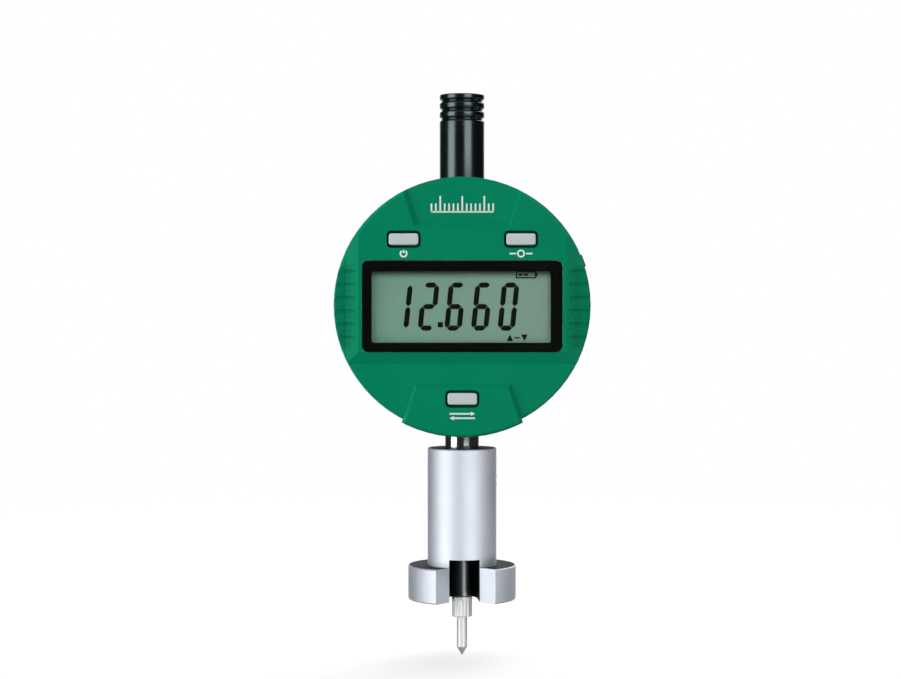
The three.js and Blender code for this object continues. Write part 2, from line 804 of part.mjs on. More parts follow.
function batterySeal() {
  const middle = doorRadius - sealRadius + fitClearance;
  const geometry = new THREE.TorusGeometry(middle, sealRadius - fitClearance, sealSides, shaftFacets);
  geometry.rotateX(half(Math.PI));
  geometry.translate(cellX, backY - doorGrooveFromFace - sealRadius, caseCentreZ);
  return solid(geometry);
}

// Battery, its holder and contacts
function batteryHolder() {
  const cupInner = cellRadius + cellGap;
  const cup = rodAlongY(
    cupInner + holderCupWall, cellX, caseCentreZ,
    holderFloorY - holderFloor, cellBackY, shaftFacets);
  const hollow = rodAlongY(
    cupInner, cellX, caseCentreZ, holderFloorY, cellBackY + cutOverrun, shaftFacets);
  const legs = [-holderLegSpread, holderLegSpread].map((offset) => rodAlongY(
    holderLegRadius, cellX + offset, caseCentreZ,
    boardBackY + seatGap, holderFloorY - half(holderFloor), screwFacets));
  return join(cut(cup, hollow), ...legs);
}

function batteryContactPlus() {
  const inner = cellX + cellRadius + seatGap;
  return box(
    [inner, holderFloorY + seatGap, caseCentreZ - contactStripHalfWidth],
    [inner + contactThickness, cellBackY - seatGap, caseCentreZ + contactStripHalfWidth],
  );
}

// Display stack and window
function lcdHolder() {
  const innerWidth = lcdWidth + fitClearance * 2;
  const innerHeight = lcdHeight + fitClearance * 2;
  const frontY = lcdFrontY;
  const outer = roundedRectangle(
    innerWidth + holderWall * 2, innerHeight + holderWall * 2, holderWall, 0, windowZ);
  const inner = roundedRectangle(innerWidth, innerHeight, fitClearance, 0, windowZ);
  return cut(
    plate(outer, frontY, boardFrontY - seatGap),
    plate(inner, frontY - cutOverrun, boardFrontY + cutOverrun),
  );
}

function zebraStrip(side) {
  const edge = half(lcdHeight) - fitClearance;
  const middle = windowZ + side * (edge - half(zebraWidth));
  return box(
    [-half(zebraLength), lcdBackY, middle - half(zebraWidth)],
    [half(zebraLength), lcdBackY + zebraHeight, middle + half(zebraWidth)],
  );
}

// Circuit board with scallops round the case's bosses
function mainBoard() {
  const disc = rodAlongY(boardRadius, 0, caseCentreZ, boardFrontY, boardBackY, barrelFacets);
  const trim = box(
    [-boardRadius, boardFrontY, caseCentreZ - boardBottomBelow],
    [boardRadius, boardBackY, caseCentreZ + boardTopAbove],
  );
  const tongue = box(
    [-boardTongueHalfWidth, boardFrontY, lowerBlockZ],
    [boardTongueHalfWidth, boardBackY, caseCentreZ],
  );
  const scallops = bossPlaces.map(([x, z]) => rodAlongY(
    bossRadius + turnedGap * 3, x, z, boardFrontY - cutOverrun, boardBackY + cutOverrun, pinFacets));
  const holes = boardPosts.map(([x, z]) => rodAlongY(
    boardScrewShank + fitClearance, x, z, boardFrontY - cutOverrun, boardBackY + cutOverrun, screwFacets));
  return cut(disc.intersect(trim).add(tongue), ...scallops, ...holes);
}

function pushSwitch([x, z]) {
  const body = box(
    [x - half(switchWidth), boardFrontY - switchBody, z - half(switchHeight)],
    [x + half(switchWidth), boardFrontY, z + half(switchHeight)],
  );
  const plungerBack = boardFrontY - half(switchBody);
  const plunger = rodAlongY(switchPlungerRadius, x, z, switchFrontY, plungerBack, screwFacets);
  return body.add(plunger);
}

function buttonCap([x, z]) {
  const frontY = faceY - buttonProud;
  const rearY = switchFrontY - buttonTravel - seatGap;
  const flangeFrontY = panelBackY + seatGap;
  const capOutline = roundedRectangle(buttonWidth, buttonHeight, buttonCorner, x, z);
  const flangeOutline = roundedRectangle(
    buttonWidth + (buttonPocketGapX + buttonFlange) * 2,
    buttonHeight + (buttonPocketGapZ + buttonFlange) * 2,
    buttonCorner, x, z);
  return join(
    plate(capOutline, frontY, rearY),
    plate(flangeOutline, flangeFrontY, flangeFrontY + buttonFlangeThickness),
  );
}

// Inner frame: two blocks joined by a bar at the left
function innerFrame() {
  const blockAt = (fromZ) => box(
    [-frameHalfWidth, frameFrontY, fromZ],
    [frameHalfWidth, frameBack, fromZ + frameBlockHeight],
  );
  const bar = box(
    [-frameHalfWidth, -barFront, lowerBlockZ],
    [frameBarWidth - frameHalfWidth, frameBack, upperBlockTopZ],
  );
  const stemSeatTop = lowerBlockZ + frameBlockHeight * stemIntoBlockShare + seatGap;
  const screwHoles = framePosts.map(([x, z]) => rodAlongY(
    frameScrewShank + fitClearance, x, z,
    frameFrontY - cutOverrun, frameBack + cutOverrun, screwFacets));
  const sensorHoles = sensorScrewPlaces.map(([x, z]) => rodAlongY(
    boardScrewShank + fitClearance, x, z,
    frameFrontY - cutOverrun, sensorBackY + sensorScrewLength, screwFacets));
  const below = lowerBlockZ - cutOverrun;
  const above = upperBlockTopZ + cutOverrun;
  return cut(
    join(blockAt(lowerBlockZ), blockAt(upperBlockZ), bar),
    rod(stemRadius + fitClearance, below, stemSeatTop, shaftFacets),
    rod(half(stemBore), lowerBlockZ, lowerBlockTopZ + cutOverrun, shaftFacets),
    rod(upperBushRadius + fitClearance, upperBlockZ - cutOverrun, above, shaftFacets),
    rod(guideRodRadius + fitClearance, below, above, pinFacets, -guideRodX),
    ...screwHoles,
    ...sensorHoles,
  );
}

// Stem, bushes, spindle and contact
function stemSleeve() {
  const top = lowerBlockZ + frameBlockHeight * stemIntoBlockShare;
  const flangeTop = lowerBlockZ - seatGap;
  const bore = half(stemBore);
  const edge = barrelEdge;
  return turned([
    [bore, stemBottomZ],
    [stemRadius - edge, stemBottomZ],
    [stemRadius, stemBottomZ + edge],
    [stemRadius, flangeTop - stemFlangeThickness],
    [stemFlangeRadius, flangeTop - stemFlangeThickness],
    [stemFlangeRadius, flangeTop],
    [stemRadius, flangeTop],
    [stemRadius, top],
    [bore, top],
    [bore, stemBottomZ],
  ], shaftFacets);
}

function ring(inner, outer, fromZ, toZ, facets) {
  return turned([[inner, fromZ], [outer, fromZ], [outer, toZ], [inner, toZ], [inner, fromZ]], facets);
}

function upperBush() {
  const inner = spindleRadius + runningClearance;
  const flangeZ = upperBlockTopZ + seatGap;
  const top = caseTopZ - capSeatDepth + upperBushThread;
  return turned([
    [inner, upperBlockZ],
    [upperBushRadius, upperBlockZ],
    [upperBushRadius, flangeZ],
    [upperBushFlangeRadius, flangeZ],
    [upperBushFlangeRadius, flangeZ + upperBushFlangeThickness],
    [upperBushRadius, flangeZ + upperBushFlangeThickness],
    [upperBushRadius, top],
    [inner, top],
    [inner, upperBlockZ],
  ], shaftFacets);
}

function spindle() {
  const hole = rod(
    half(studDiameter) + fitClearance, collarTopZ - cutOverrun,
    collarTopZ + seatGap + studLength + studHoleExtra, pinFacets);
  const shaft = turned([
    [0, collarTopZ + seatGap],
    [spindleRadius, collarTopZ + seatGap],
    [spindleRadius, spindleTopZ - spindleChamfer],
    [spindleRadius - spindleChamfer, spindleTopZ],
    [0, spindleTopZ],
  ], shaftFacets);
  return cut(shaft, hole);
}

function contactPoint() {
  const body = turned([
    [0, 0],
    [needleTipRadius, 0],
    [needleRadius, needleConeHeight],
    [needleRadius, collarBottom],
    [spindleRadius - half(spindleChamfer), collarBottom],
    [spindleRadius, collarBottom + half(spindleChamfer)],
    [spindleRadius, collarTopZ],
    [half(studDiameter), collarTopZ],
    [half(studDiameter), collarTopZ + studLength],
    [0, collarTopZ + studLength],
  ], shaftFacets);
  const flutes = [];
  for (let index = 0; index < collarFlutes; index += 1) {
    const angle = (index + half(1)) * ((Math.PI * 2) / collarFlutes);
    const reach = spindleRadius + fluteRadius - fluteDepth;
    flutes.push(rod(
      fluteRadius, collarBottom - needleRadius, collarTopZ - fluteRadius, fluteFacets,
      reach * Math.sin(angle), reach * Math.cos(angle)));
  }
  return cut(body, ...flutes);
}

// Carrier clamped on the spindle, forked round the guide rod
function scaleCarrier() {
  const rodRoom = guideRodRadius + runningClearance;
  const screwZ = carrierZ + half(carrierHeight);
  const screwHole = carrierScrewShank + fitClearance;
  return cut(
    box([-carrierLeft, carrierFrontY, carrierZ], [carrierRight, carrierBack, carrierTopZ]),
    rod(spindleRadius + fitClearance, carrierZ - cutOverrun, carrierTopZ + cutOverrun, shaftFacets),
    rod(rodRoom, carrierZ - cutOverrun, carrierTopZ + cutOverrun, pinFacets, -guideRodX),
    box(
      [-carrierLeft - cutOverrun, -rodRoom, carrierZ - cutOverrun],
      [-guideRodX, rodRoom, carrierTopZ + cutOverrun],
    ),
    rodAlongX(screwHole, spindleRadius, carrierRight + cutOverrun, 0, screwZ, screwFacets),
  );
}

function carrierScrew() {
  const z = carrierZ + half(carrierHeight);
  const tip = spindleRadius + fitClearance * 2;
  const seat = carrierRight + seatGap;
  const head = rodAlongX(carrierScrewHead, seat, seat + carrierScrewHeadHeight, 0, z, screwFacets);
  const driveFloor = seat + carrierScrewHeadHeight * (1 - screwDriveDepthShare);
  const driveRadius = carrierScrewHead * screwDriveShare;
  const driveTop = seat + carrierScrewHeadHeight + cutOverrun;
  const drive = rodAlongX(driveRadius, driveFloor, driveTop, 0, z, driveSides);
  return cut(join(rodAlongX(carrierScrewShank, tip, seat, 0, z, screwFacets), head), drive);
}

// The return spring: rings of points along a helix, joined into one closed tube
function springRings() {
  const bottom = carrierTopZ + springWire;
  const top = upperBlockZ - springWire;
  const steps = springTurns * springStepsPerTurn;
  const rings = [];
  for (let step = 0; step <= steps; step += 1) {
    const angle = (step / springStepsPerTurn) * Math.PI * 2;
    const centre = new THREE.Vector3(
      -guideRodX + springRadius * Math.cos(angle),
      springRadius * Math.sin(angle),
      bottom + ((top - bottom) * step) / steps,
    );
    const outwards = new THREE.Vector3(Math.cos(angle), Math.sin(angle), 0);
    const ringPoints = [];
    for (let side = 0; side < springSides; side += 1) {
      const turn = (side / springSides) * Math.PI * 2;
      const point = centre.clone().addScaledVector(outwards, half(springWire) * Math.cos(turn));
      point.z += half(springWire) * Math.sin(turn);
      ringPoints.push(point);
    }
    rings.push(ringPoints);
  }
  return rings;
}

function leastSpringGap(rings) {
  let least = Infinity;
  for (let first = 0; first < rings.length; first += 1) {
    for (let second = first + half(springStepsPerTurn); second < rings.length; second += 1) {
      for (const a of rings[first]) {
        for (const b of rings[second]) {
          least = Math.min(least, a.distanceTo(b));
        }
      }
    }
  }
  return least;
}

function tubeSurface(rings) {
  const positions = rings.flat().flatMap((point) => point.toArray());
  const indices = [];
  const sides = rings[0].length;
  for (let step = 0; step + 1 < rings.length; step += 1) {
    for (let side = 0; side < sides; side += 1) {
      const next = (side + 1) % sides;
      const a = step * sides + side;
      const b = step * sides + next;
      indices.push(a, b, b + sides, a, b + sides, a + sides);
    }
  }
  const last = (rings.length - 1) * sides;
  for (let side = 1; side + 1 < sides; side += 1) {
    indices.push(0, side + 1, side, last, last + side, last + side + 1);
  }
  const geometry = new THREE.BufferGeometry();
  geometry.setAttribute('position', new THREE.Float32BufferAttribute(positions, 3));
  geometry.setIndex(indices);
  return geometry;
}

function returnSpring() {
  const rings = springRings();
  const gap = leastSpringGap(rings);
  console.log(`return spring: least gap to itself ${gap.toFixed(2)} mm, more than ${springLeastGap} wanted`);
  return solid(tubeSurface(rings));
}

// Data port: the cover sits in a recess of the rim, the socket behind the wall
function dataPortCover() {
  const seat = caseRadius + portProud - portFlangeThickness;
  const flange = box(
    [seat, -half(portFlangeLength), -half(portFlangeHeight)],
    [caseRadius + portProud, half(portFlangeLength), half(portFlangeHeight)],
  );
  const plug = box(
    [seat - portPlugDepth, -half(portPlugLength), -half(portPlugHeight)],
    [seat + half(portFlangeThickness), half(portPlugLength), half(portPlugHeight)],
  );
  return atRim(flange.add(plug), portAngle);
}

function dataConnector() {
  const outer = innerRadius - turnedGap * 2;
  const body = box(
    [outer - connectorDepth, -half(portPlugLength), -half(portPlugHeight)],
    [outer, half(portPlugLength), half(portPlugHeight)],
  );
  return atRim(body, portAngle);
}

// Dust cap: turned, with grooves round its upper end and a slightly domed top
function dustCap() {
  const seatZ = caseTopZ - capSeatDepth + seatGap;
  const threadRadius = upperBushRadius + fitClearance;
  const threadTop = caseTopZ - capSeatDepth + upperBushThread + seatGap * 2;
  const roofZ = capTopZ - capTopWall;
  const profile = [[threadRadius, seatZ], [capRadius, seatZ]];
  for (let index = capGrooves - 1; index >= 0; index -= 1) {
    const grooveZ = capTopZ - capFirstGroove - index * capGroovePitch;
    profile.push([capRadius, grooveZ - capGrooveHalfHeight]);
    profile.push([capRadius - capGrooveDepth, grooveZ]);
    profile.push([capRadius, grooveZ + capGrooveHalfHeight]);
  }
  profile.push([capRadius, capTopZ - capEdge]);
  profile.push([capRadius - capEdge, capTopZ - capDome]);
  profile.push([0, capTopZ]);
  profile.push([0, roofZ]);
  profile.push([half(capBore), roofZ]);
  profile.push([half(capBore), threadTop]);
  profile.push([threadRadius, threadTop]);
  profile.push([threadRadius, seatZ]);
  return turned(profile, shaftFacets);
}

// Base: barrel and foot in one, with the notch and slot at the front
function baseBody() {
  const body = turned([
    [0, footFaceZ],
    [footRadius - footEdge, footFaceZ],
    [footRadius, footFaceZ + footEdge],
    [footRadius, footTopZ - footEdge],
    [footRadius - footEdge, footTopZ],
    [barrelRadius, footTopZ],
    [barrelRadius, barrelTopZ - barrelEdge],
    [barrelRadius - barrelEdge, barrelTopZ],
    [0, barrelTopZ],
  ], barrelFacets);
  const shoulderZ = stemBottomZ - stemShoulderGap;
  const slotTopZ = footTopZ + slotAboveFoot;
  const slot = box(
    [-half(slotWidth), -footRadius - cutOverrun, footFaceZ - cutOverrun],
    [half(slotWidth), 0, slotTopZ],
  );
  const reach = footRadius + cutOverrun;
  const slotFrontY = -Math.sqrt(barrelRadius ** 2 - half(slotWidth) ** 2);
  const opening = half(slotWidth) + (reach + slotFrontY) * Math.tan(radians(half(notchOpening)));
  const outline = new THREE.Shape();
  outline.moveTo(-half(slotWidth), slotFrontY);
  outline.lineTo(-opening, -reach);
  outline.lineTo(opening, -reach);
  outline.lineTo(half(slotWidth), slotFrontY);
  outline.closePath();
  const notchGeometry = new THREE.ExtrudeGeometry(outline, {
    depth: footThickness + cutOverrun * 2,
    bevelEnabled: false,
  });
  notchGeometry.translate(0, 0, footFaceZ - cutOverrun);
  const clearOfBarrel = cut(
    solid(notchGeometry),
    rod(barrelRadius, footFaceZ - cutOverrun * 2, footTopZ + cutOverrun * 2, barrelFacets),
  );
  const grubZ = footFaceZ + grubAbove;
  return cut(
    body,
    slot,
    clearOfBarrel,
    rod(half(baseBore), footFaceZ - cutOverrun, shoulderZ + cutOverrun, shaftFacets),
    rod(stemRadius + fitClearance, shoulderZ, barrelTopZ + cutOverrun, shaftFacets),
    rodAlongX(grubRadius + fitClearance, half(stemRadius), barrelRadius + cutOverrun, 0, grubZ, pinFacets),
  );
}

function grubScrew() {
  const z = footFaceZ + grubAbove;
  const outer = barrelRadius - grubSink;
  const body = rodAlongX(grubRadius, stemRadius + turnedGap, outer, 0, z, pinFacets);
  const socketFloor = outer - grubSocketDepth;
  return cut(body, rodAlongX(grubSocketRadius, socketFloor, outer + cutOverrun, 0, z, driveSides));
}

// The case and what is fastened in it
addPiece('front_case', frontCase(), greenShell);
addPiece('window_lens', plate(
  roundedRectangle(lensWidth, lensHeight, lensCorner, 0, windowZ), lensFrontY, lensBackY), clearPlastic);
addPiece('window_mask', cut(
  plate(roundedRectangle(lensWidth, lensHeight, lensCorner, 0, windowZ), lensBackY + fitClearance, maskBackY),
  plate(
    roundedRectangle(viewWidth, viewHeight, viewCorner, -viewLeftOfWindow, viewZ),
    lensBackY - cutOverrun, maskBackY + cutOverrun),
), blackInk);
addPiece('lcd_panel', box(
  [-half(lcdWidth), lcdFrontY, windowZ - half(lcdHeight)],
  [half(lcdWidth), lcdBackY, windowZ + half(lcdHeight)],
), displayGlass);
addPiece('lcd_holder', lcdHolder(), darkPlastic);
addPiece('zebra_strip_upper', zebraStrip(1), greyRubber);
addPiece('zebra_strip_lower', zebraStrip(-1), greyRubber);
addPiece('main_board', mainBoard(), boardGreen);
addPiece('controller_chip', box(
  [chipX - half(chipSize), boardBackY + seatGap, caseCentreZ + chipAbove - half(chipSize)],
  [chipX + half(chipSize), boardBackY + seatGap + chipThickness, caseCentreZ + chipAbove + half(chipSize)],
), blackPlastic);
addPiece('link_connector', box(
  [-half(linkWidth), boardBackY + seatGap, caseCentreZ - linkBelow - half(linkHeight)],
  [half(linkWidth), sensorFrontY - seatGap, caseCentreZ - linkBelow + half(linkHeight)],
), blackPlastic);
for (const [side, place] of Object.entries(buttonPlaces)) {
  addPiece(`switch_${side}`, pushSwitch(place), nickelSteel);
  addPiece(`button_${side}`, buttonCap(place), greyButton);
}
boardPosts.forEach(([x, z], index) => {
  addPiece(`board_screw_${index + 1}`, screwAlongY(
    x, z, boardBackY + seatGap, boardScrewShank, boardScrewLength,
    boardScrewHead, boardScrewHeadHeight), nickelSteel);
});
addPiece('inner_frame', innerFrame(), castAlloy);
framePosts.forEach(([x, z], index) => {
  addPiece(`frame_screw_${index + 1}`, screwAlongY(
    x, z, frameBack + seatGap, frameScrewShank, frameFront + frameBack + frameScrewGrip,
    frameScrewHead, frameScrewHeadHeight), nickelSteel);
});
addPiece('sensor_board', cut(
  box(
    [-frameHalfWidth, sensorFrontY, sensorBottomZ],
    [sensorRight, sensorBackY, sensorTopZ]),
  ...sensorScrewPlaces.map(([x, z]) => rodAlongY(
    boardScrewShank + fitClearance, x, z,
    sensorFrontY - cutOverrun, sensorBackY + cutOverrun, screwFacets)),
), boardGreen);
sensorScrewPlaces.forEach(([x, z], index) => {
  const screw = screwAlongY(
    x, -z, -sensorFrontY + seatGap, boardScrewShank, sensorScrewLength, boardScrewHead, boardScrewHeadHeight);
  addPiece(`sensor_screw_${index + 1}`, screw.rotate([180, 0, 0]), nickelSteel);
});
addPiece('stem_sleeve', stemSleeve(), polishedSteel);
addPiece('lower_bush', ring(
  spindleRadius + runningClearance, half(stemBore) - fitClearance,
  stemBottomZ, stemBottomZ + lowerBushLength, shaftFacets), brassMetal);
addPiece('upper_bush', upperBush(), brassMetal);
addPiece('guide_rod', rod(
  guideRodRadius, lowerBlockZ + guideRodEndGap, upperBlockTopZ - guideRodEndGap,
  pinFacets, -guideRodX), polishedSteel);
addPiece('stop_bumper', ring(
  guideRodRadius + fitClearance, bumperRadius,
  lowerBlockTopZ + seatGap, lowerBlockTopZ + seatGap + bumperThickness, pinFacets,
).translate([-guideRodX, 0, 0]), blackRubber);
addPiece('return_spring', returnSpring(), polishedSteel);
addPiece('battery_holder', batteryHolder(), darkPlastic);
addPiece('battery', rodAlongY(
  cellRadius, cellX, caseCentreZ, cellFrontY, cellBackY, shaftFacets), nickelSteel);
addPiece('battery_contact_minus', rodAlongY(
  contactRadius, cellX, caseCentreZ,
  holderFloorY + seatGap, holderFloorY + seatGap + contactThickness, pinFacets), nickelSteel);
addPiece('battery_contact_plus', batteryContactPlus(), nickelSteel);
addPiece('cover_gasket', turnedAlongY([
  [half(innerRadius + caseRadius - gasketWidth), coverSeatY - gasketDepth],
  [half(innerRadius + caseRadius + gasketWidth), coverSeatY - gasketDepth],
  [half(innerRadius + caseRadius + gasketWidth), coverSeatY - fitClearance],
  [half(innerRadius + caseRadius - gasketWidth), coverSeatY - fitClearance],
  [half(innerRadius + caseRadius - gasketWidth), coverSeatY - gasketDepth],
], 0, caseCentreZ, caseFacets), blackRubber);
addPiece('rear_cover', rearCover(), blackPlastic);
bossPlaces.forEach(([x, z], index) => {
  const headSeat = backY - coverScrewSink - coverScrewHeadHeight;
  addPiece(`cover_screw_${index + 1}`, screwAlongY(
    x, z, headSeat, coverScrewShank, coverScrewLength, coverScrewHead, coverScrewHeadHeight), nickelSteel);
});
addPiece('data_connector', dataConnector(), blackPlastic);

// Pieces that move
addPiece('spindle', spindle(), polishedSteel);
addPiece('contact_point', contactPoint(), polishedSteel);
addPiece('scale_carrier', scaleCarrier(), castAlloy);
addPiece('carrier_screw', carrierScrew(), nickelSteel);
addPiece('scale_strip', box(
  [-half(scaleWidth), scaleBackY - scaleThickness, carrierZ],
  [half(scaleWidth), scaleBackY, carrierZ + scaleLength],
), scaleGlass);
addPiece('battery_cover', batteryCover(), blackPlastic);
addPiece('battery_seal', batterySeal(), blackRubber);
addPiece('data_port_cover', dataPortCover(), greyRubber);
addPiece('dust_cap', dustCap(), blackAnodised);

const base = new THREE.Group();
base.rotation.z = radians(baseTurn);
addPiece('base', baseBody(), satinSteel, base);
addPiece('grub_screw', grubScrew(), nickelSteel, base);
gauge.add(base);

export default gauge;
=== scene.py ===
import json
import logging
import math
from dataclasses import dataclass
from enum import Enum
from typing import Iterable, Sequence

import bmesh
import bpy
import numpy as np
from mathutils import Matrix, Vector


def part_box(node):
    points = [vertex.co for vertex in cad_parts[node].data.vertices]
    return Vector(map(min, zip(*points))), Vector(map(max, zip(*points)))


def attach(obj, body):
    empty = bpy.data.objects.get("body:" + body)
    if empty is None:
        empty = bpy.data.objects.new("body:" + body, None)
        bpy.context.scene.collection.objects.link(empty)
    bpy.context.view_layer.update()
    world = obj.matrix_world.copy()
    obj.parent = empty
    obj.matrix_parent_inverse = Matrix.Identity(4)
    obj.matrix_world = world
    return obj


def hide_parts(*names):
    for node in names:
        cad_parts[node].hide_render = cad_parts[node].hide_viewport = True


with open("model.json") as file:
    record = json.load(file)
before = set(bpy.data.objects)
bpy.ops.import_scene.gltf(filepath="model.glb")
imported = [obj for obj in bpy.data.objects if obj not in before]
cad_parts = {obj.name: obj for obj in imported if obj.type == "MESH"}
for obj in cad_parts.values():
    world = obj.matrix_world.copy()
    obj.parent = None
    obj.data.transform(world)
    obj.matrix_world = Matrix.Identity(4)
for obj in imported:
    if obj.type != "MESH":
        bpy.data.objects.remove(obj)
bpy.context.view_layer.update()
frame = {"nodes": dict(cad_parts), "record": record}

Array = np.ndarray
Mesh = bpy.types.Mesh
Tree = bpy.types.NodeTree
Socket = bpy.types.NodeSocket
Collection = bpy.types.bpy_prop_collection
Point = tuple[float, float, float]
FlatPoint = tuple[float, float]

MM = 0.001
# How near two points are, in metres, to be merged into one
MERGE_DISTANCE = 1e-7
CAD_MERGE_DISTANCE = 1e-6
# Limits that keep divisions and angles sound where a length or a turn is almost nothing
TINY = 1e-9
NEARLY_ONE = 0.999999
LEAST_TURN = 1e-3
LEAST_MITRE = 0.2
LEAST_ACROSS = 0.2
CAMERA_IMAGE_WIDTH = 901
ROUND_SEGMENTS = 128
SMALL_SEGMENTS = 64
CORNER_STEPS = 6
EDGE_STEPS = 4
SHARP_ANGLE = math.radians(30)
FULL_TURN = 2 * math.pi
INK_THICKNESS = 0.02
GROOVE_MARGIN = 0.08
FLAT_MARGIN = 0.03
ALONG_Y = (0.0, 1.0, 0.0)
ALONG_Z = (0.0, 0.0, 1.0)


# Shapes

class Direction(Enum):
    """Where a piece's own third axis points, given with its first and second axis."""

    UP = ((1, 0, 0), (0, 1, 0), (0, 0, 1))
    FRONT = ((1, 0, 0), (0, 0, 1), (0, -1, 0))
    BACK = ((-1, 0, 0), (0, 0, 1), (0, 1, 0))


@dataclass(frozen=True)
class Place:
    """An origin in millimetres and three axes at right angles to each other."""

    origin: Point = (0, 0, 0)
    axes: tuple[Point, Point, Point] = Direction.UP.value

    def world(self, points: Array) -> Array:
        """Points along the three axes become points in the gauge's own frame."""
        return np.asarray(self.origin, float) + points @ np.asarray(self.axes, float)

    def box_of(self, node: str) -> tuple[Array, Array]:
        """The lowest and highest corner of a CAD node along the three axes.

        Args:
            node: the CAD node.

        Returns:
            Both corners in millimetres from the origin.
        """
        points = read_rows(frame["nodes"][node].data.vertices, "co", 3) / MM
        local = (points - np.asarray(self.origin)) @ np.asarray(self.axes).T
        return local.min(axis=0), local.max(axis=0)


@dataclass
class Surface:
    """Points in millimetres and the faces between them."""

    points: Array
    faces: list[tuple[int, ...]]

    @staticmethod
    def joined(parts: Sequence["Surface"]) -> "Surface":
        """Several surfaces as one, each with its points numbered after the last one's.

        Args:
            parts: the surfaces.

        Returns:
            The joined surface.
        """
        starts = np.cumsum([0] + [len(part.points) for part in parts])
        faces = [
            tuple(int(start) + index for index in face)
            for start, part in zip(starts, parts)
            for face in part.faces
        ]
        return Surface(np.concatenate([part.points for part in parts]), faces)


def unit(rows: Array) -> Array:
    """Each row over its own length; a row of zeros stays."""
    return rows / np.maximum(np.linalg.norm(rows, axis=1, keepdims=True), TINY)


def circle(segments: int = ROUND_SEGMENTS) -> Array:
    """A unit circle: the cosine and sine of evenly spaced angles."""
    angles = np.arange(segments) * (FULL_TURN / segments)
    return np.stack([np.cos(angles), np.sin(angles)], axis=1)


def hexagon() -> Array:
    """A hexagon with corners one away from its middle, walked at evenly spaced angles.

    At each angle the distance is the hexagon's inner radius over the cosine of the angle from the
    nearest side's middle.

    Returns:
        The points as rows.
    """
    wedge = FULL_TURN / 6
    from_middle = np.mod(np.arange(SMALL_SEGMENTS) * (FULL_TURN / SMALL_SEGMENTS), wedge) - wedge / 2
    distance = math.cos(wedge / 2) / np.cos(from_middle)
    return circle(SMALL_SEGMENTS) * distance[:, None]


def round_corners(
    points: Array | Sequence[FlatPoint], radii: float | Sequence[float], closed: bool = False
) -> Array:
    """Each corner becomes an arc that touches both of its sides.

    The arc's middle lies on the corner's bisector, radius over the sine of half the corner's angle
    away, and the arc turns evenly from one side's touching point to the other's.

    Args:
        points: the corners as rows, in order.
        radii: one radius for all corners or one for each; 0 keeps a corner.
        closed: whether the last corner joins the first; otherwise both ends stay as they are.

    Returns:
        The rounded outline's points as rows.
    """
    points = np.asarray(points, float)
    radii = np.broadcast_to(np.asarray(radii, float), len(points)).copy()
    if not closed:
        radii[[0, -1]] = 0
    before = unit(np.roll(points, 1, axis=0) - points)
    after = unit(np.roll(points, -1, axis=0) - points)
    cosine = np.clip((before * after).sum(axis=1), -NEARLY_ONE, NEARLY_ONE)
    half_angle = np.arccos(cosine) / 2
    reach = (radii / np.tan(half_angle))[:, None]
    middle = points + unit(before + after) * (radii / np.sin(half_angle))[:, None]
    start = (points + before * reach - middle)[:, None]
    end = (points + after * reach - middle)[:, None]
    turn = (math.pi - 2 * half_angle)[:, None, None]
    share = np.linspace(0, 1, CORNER_STEPS + 1)[None, :, None]
    arc = np.sin((1 - share) * turn) * start + np.sin(share * turn) * end
    arc /= np.maximum(np.sin(turn), TINY)
    straight = start * (1 - share) + end * share
    arc = np.where(turn < LEAST_TURN, straight, arc)
    return (middle[:, None] + arc).reshape(-1, 2)


def rectangle(width: float, height: float, corner: float = 0.0, centre: FlatPoint = (0, 0)) -> Array:
    """A rectangle with rounded corners, anticlockwise.

    Args:
        width: its size along the first axis.
        height: its size along the second axis.
        corner: its corners' radius.
        centre: its middle.

    Returns:
        The outline's points as rows.
    """
    signs = np.array([(-1, -1), (1, -1), (1, 1), (-1, 1)], float)
    corners = signs * (width / 2, height / 2) + np.asarray(centre, float)
    return round_corners(corners, corner, closed=True) if corner else corners


def mitres(outline: Array) -> Array:
    """For each point of an anticlockwise outline, the move that sets both of its sides in by one.

    It is the sum of the two sides' inward normals over one plus the cosine of the angle between them.

    Args:
        outline: the outline's points as rows.

    Returns:
        The moves as rows.
    """
    sides = unit(np.roll(outline, -1, axis=0) - outline)
    normals = np.stack([-sides[:, 1], sides[:, 0]], axis=1)
    previous = np.roll(normals, 1, axis=0)
    together = 1 + (normals * previous).sum(axis=1, keepdims=True)
    return (normals + previous) / np.maximum(together, LEAST_MITRE)


def skin(rings: Array, heights: Sequence[float], place: Place) -> Surface:
    """Flat rings of points joined into a closed skin, with a face over the first and the last ring.

    Ring i holds points along the place's first two axes, at heights[i] along its third.

    Args:
        rings: rings, points and two coordinates.
        heights: one height for each ring.
        place: where it lies.

    Returns:
        The skin; a ring of radius 0 closes to a point when its doubles are merged.
    """
    count, around = rings.shape[:2]
    levels = np.broadcast_to(np.asarray(heights, float)[:, None, None], (count, around, 1))
    points = place.world(np.concatenate([rings, levels], axis=2).reshape(-1, 3))
    index = np.arange(count * around).reshape(count, around)
    beside = np.roll(index, -1, axis=1)
    quads = np.stack([index[:-1], beside[:-1], beside[1:], index[1:]], axis=-1).reshape(-1, 4)
    faces = [tuple(quad) for quad in quads.tolist()]
    faces.append(tuple(index[0][::-1].tolist()))
    faces.append(tuple(index[-1].tolist()))
    return Surface(points, faces)


def lathe(profile: Array) -> Surface:
    """A surface turned about the gauge's axis: each row's radius times the unit circle."""
    return skin(profile[:, 0, None, None] * circle()[None], profile[:, 1], Place())


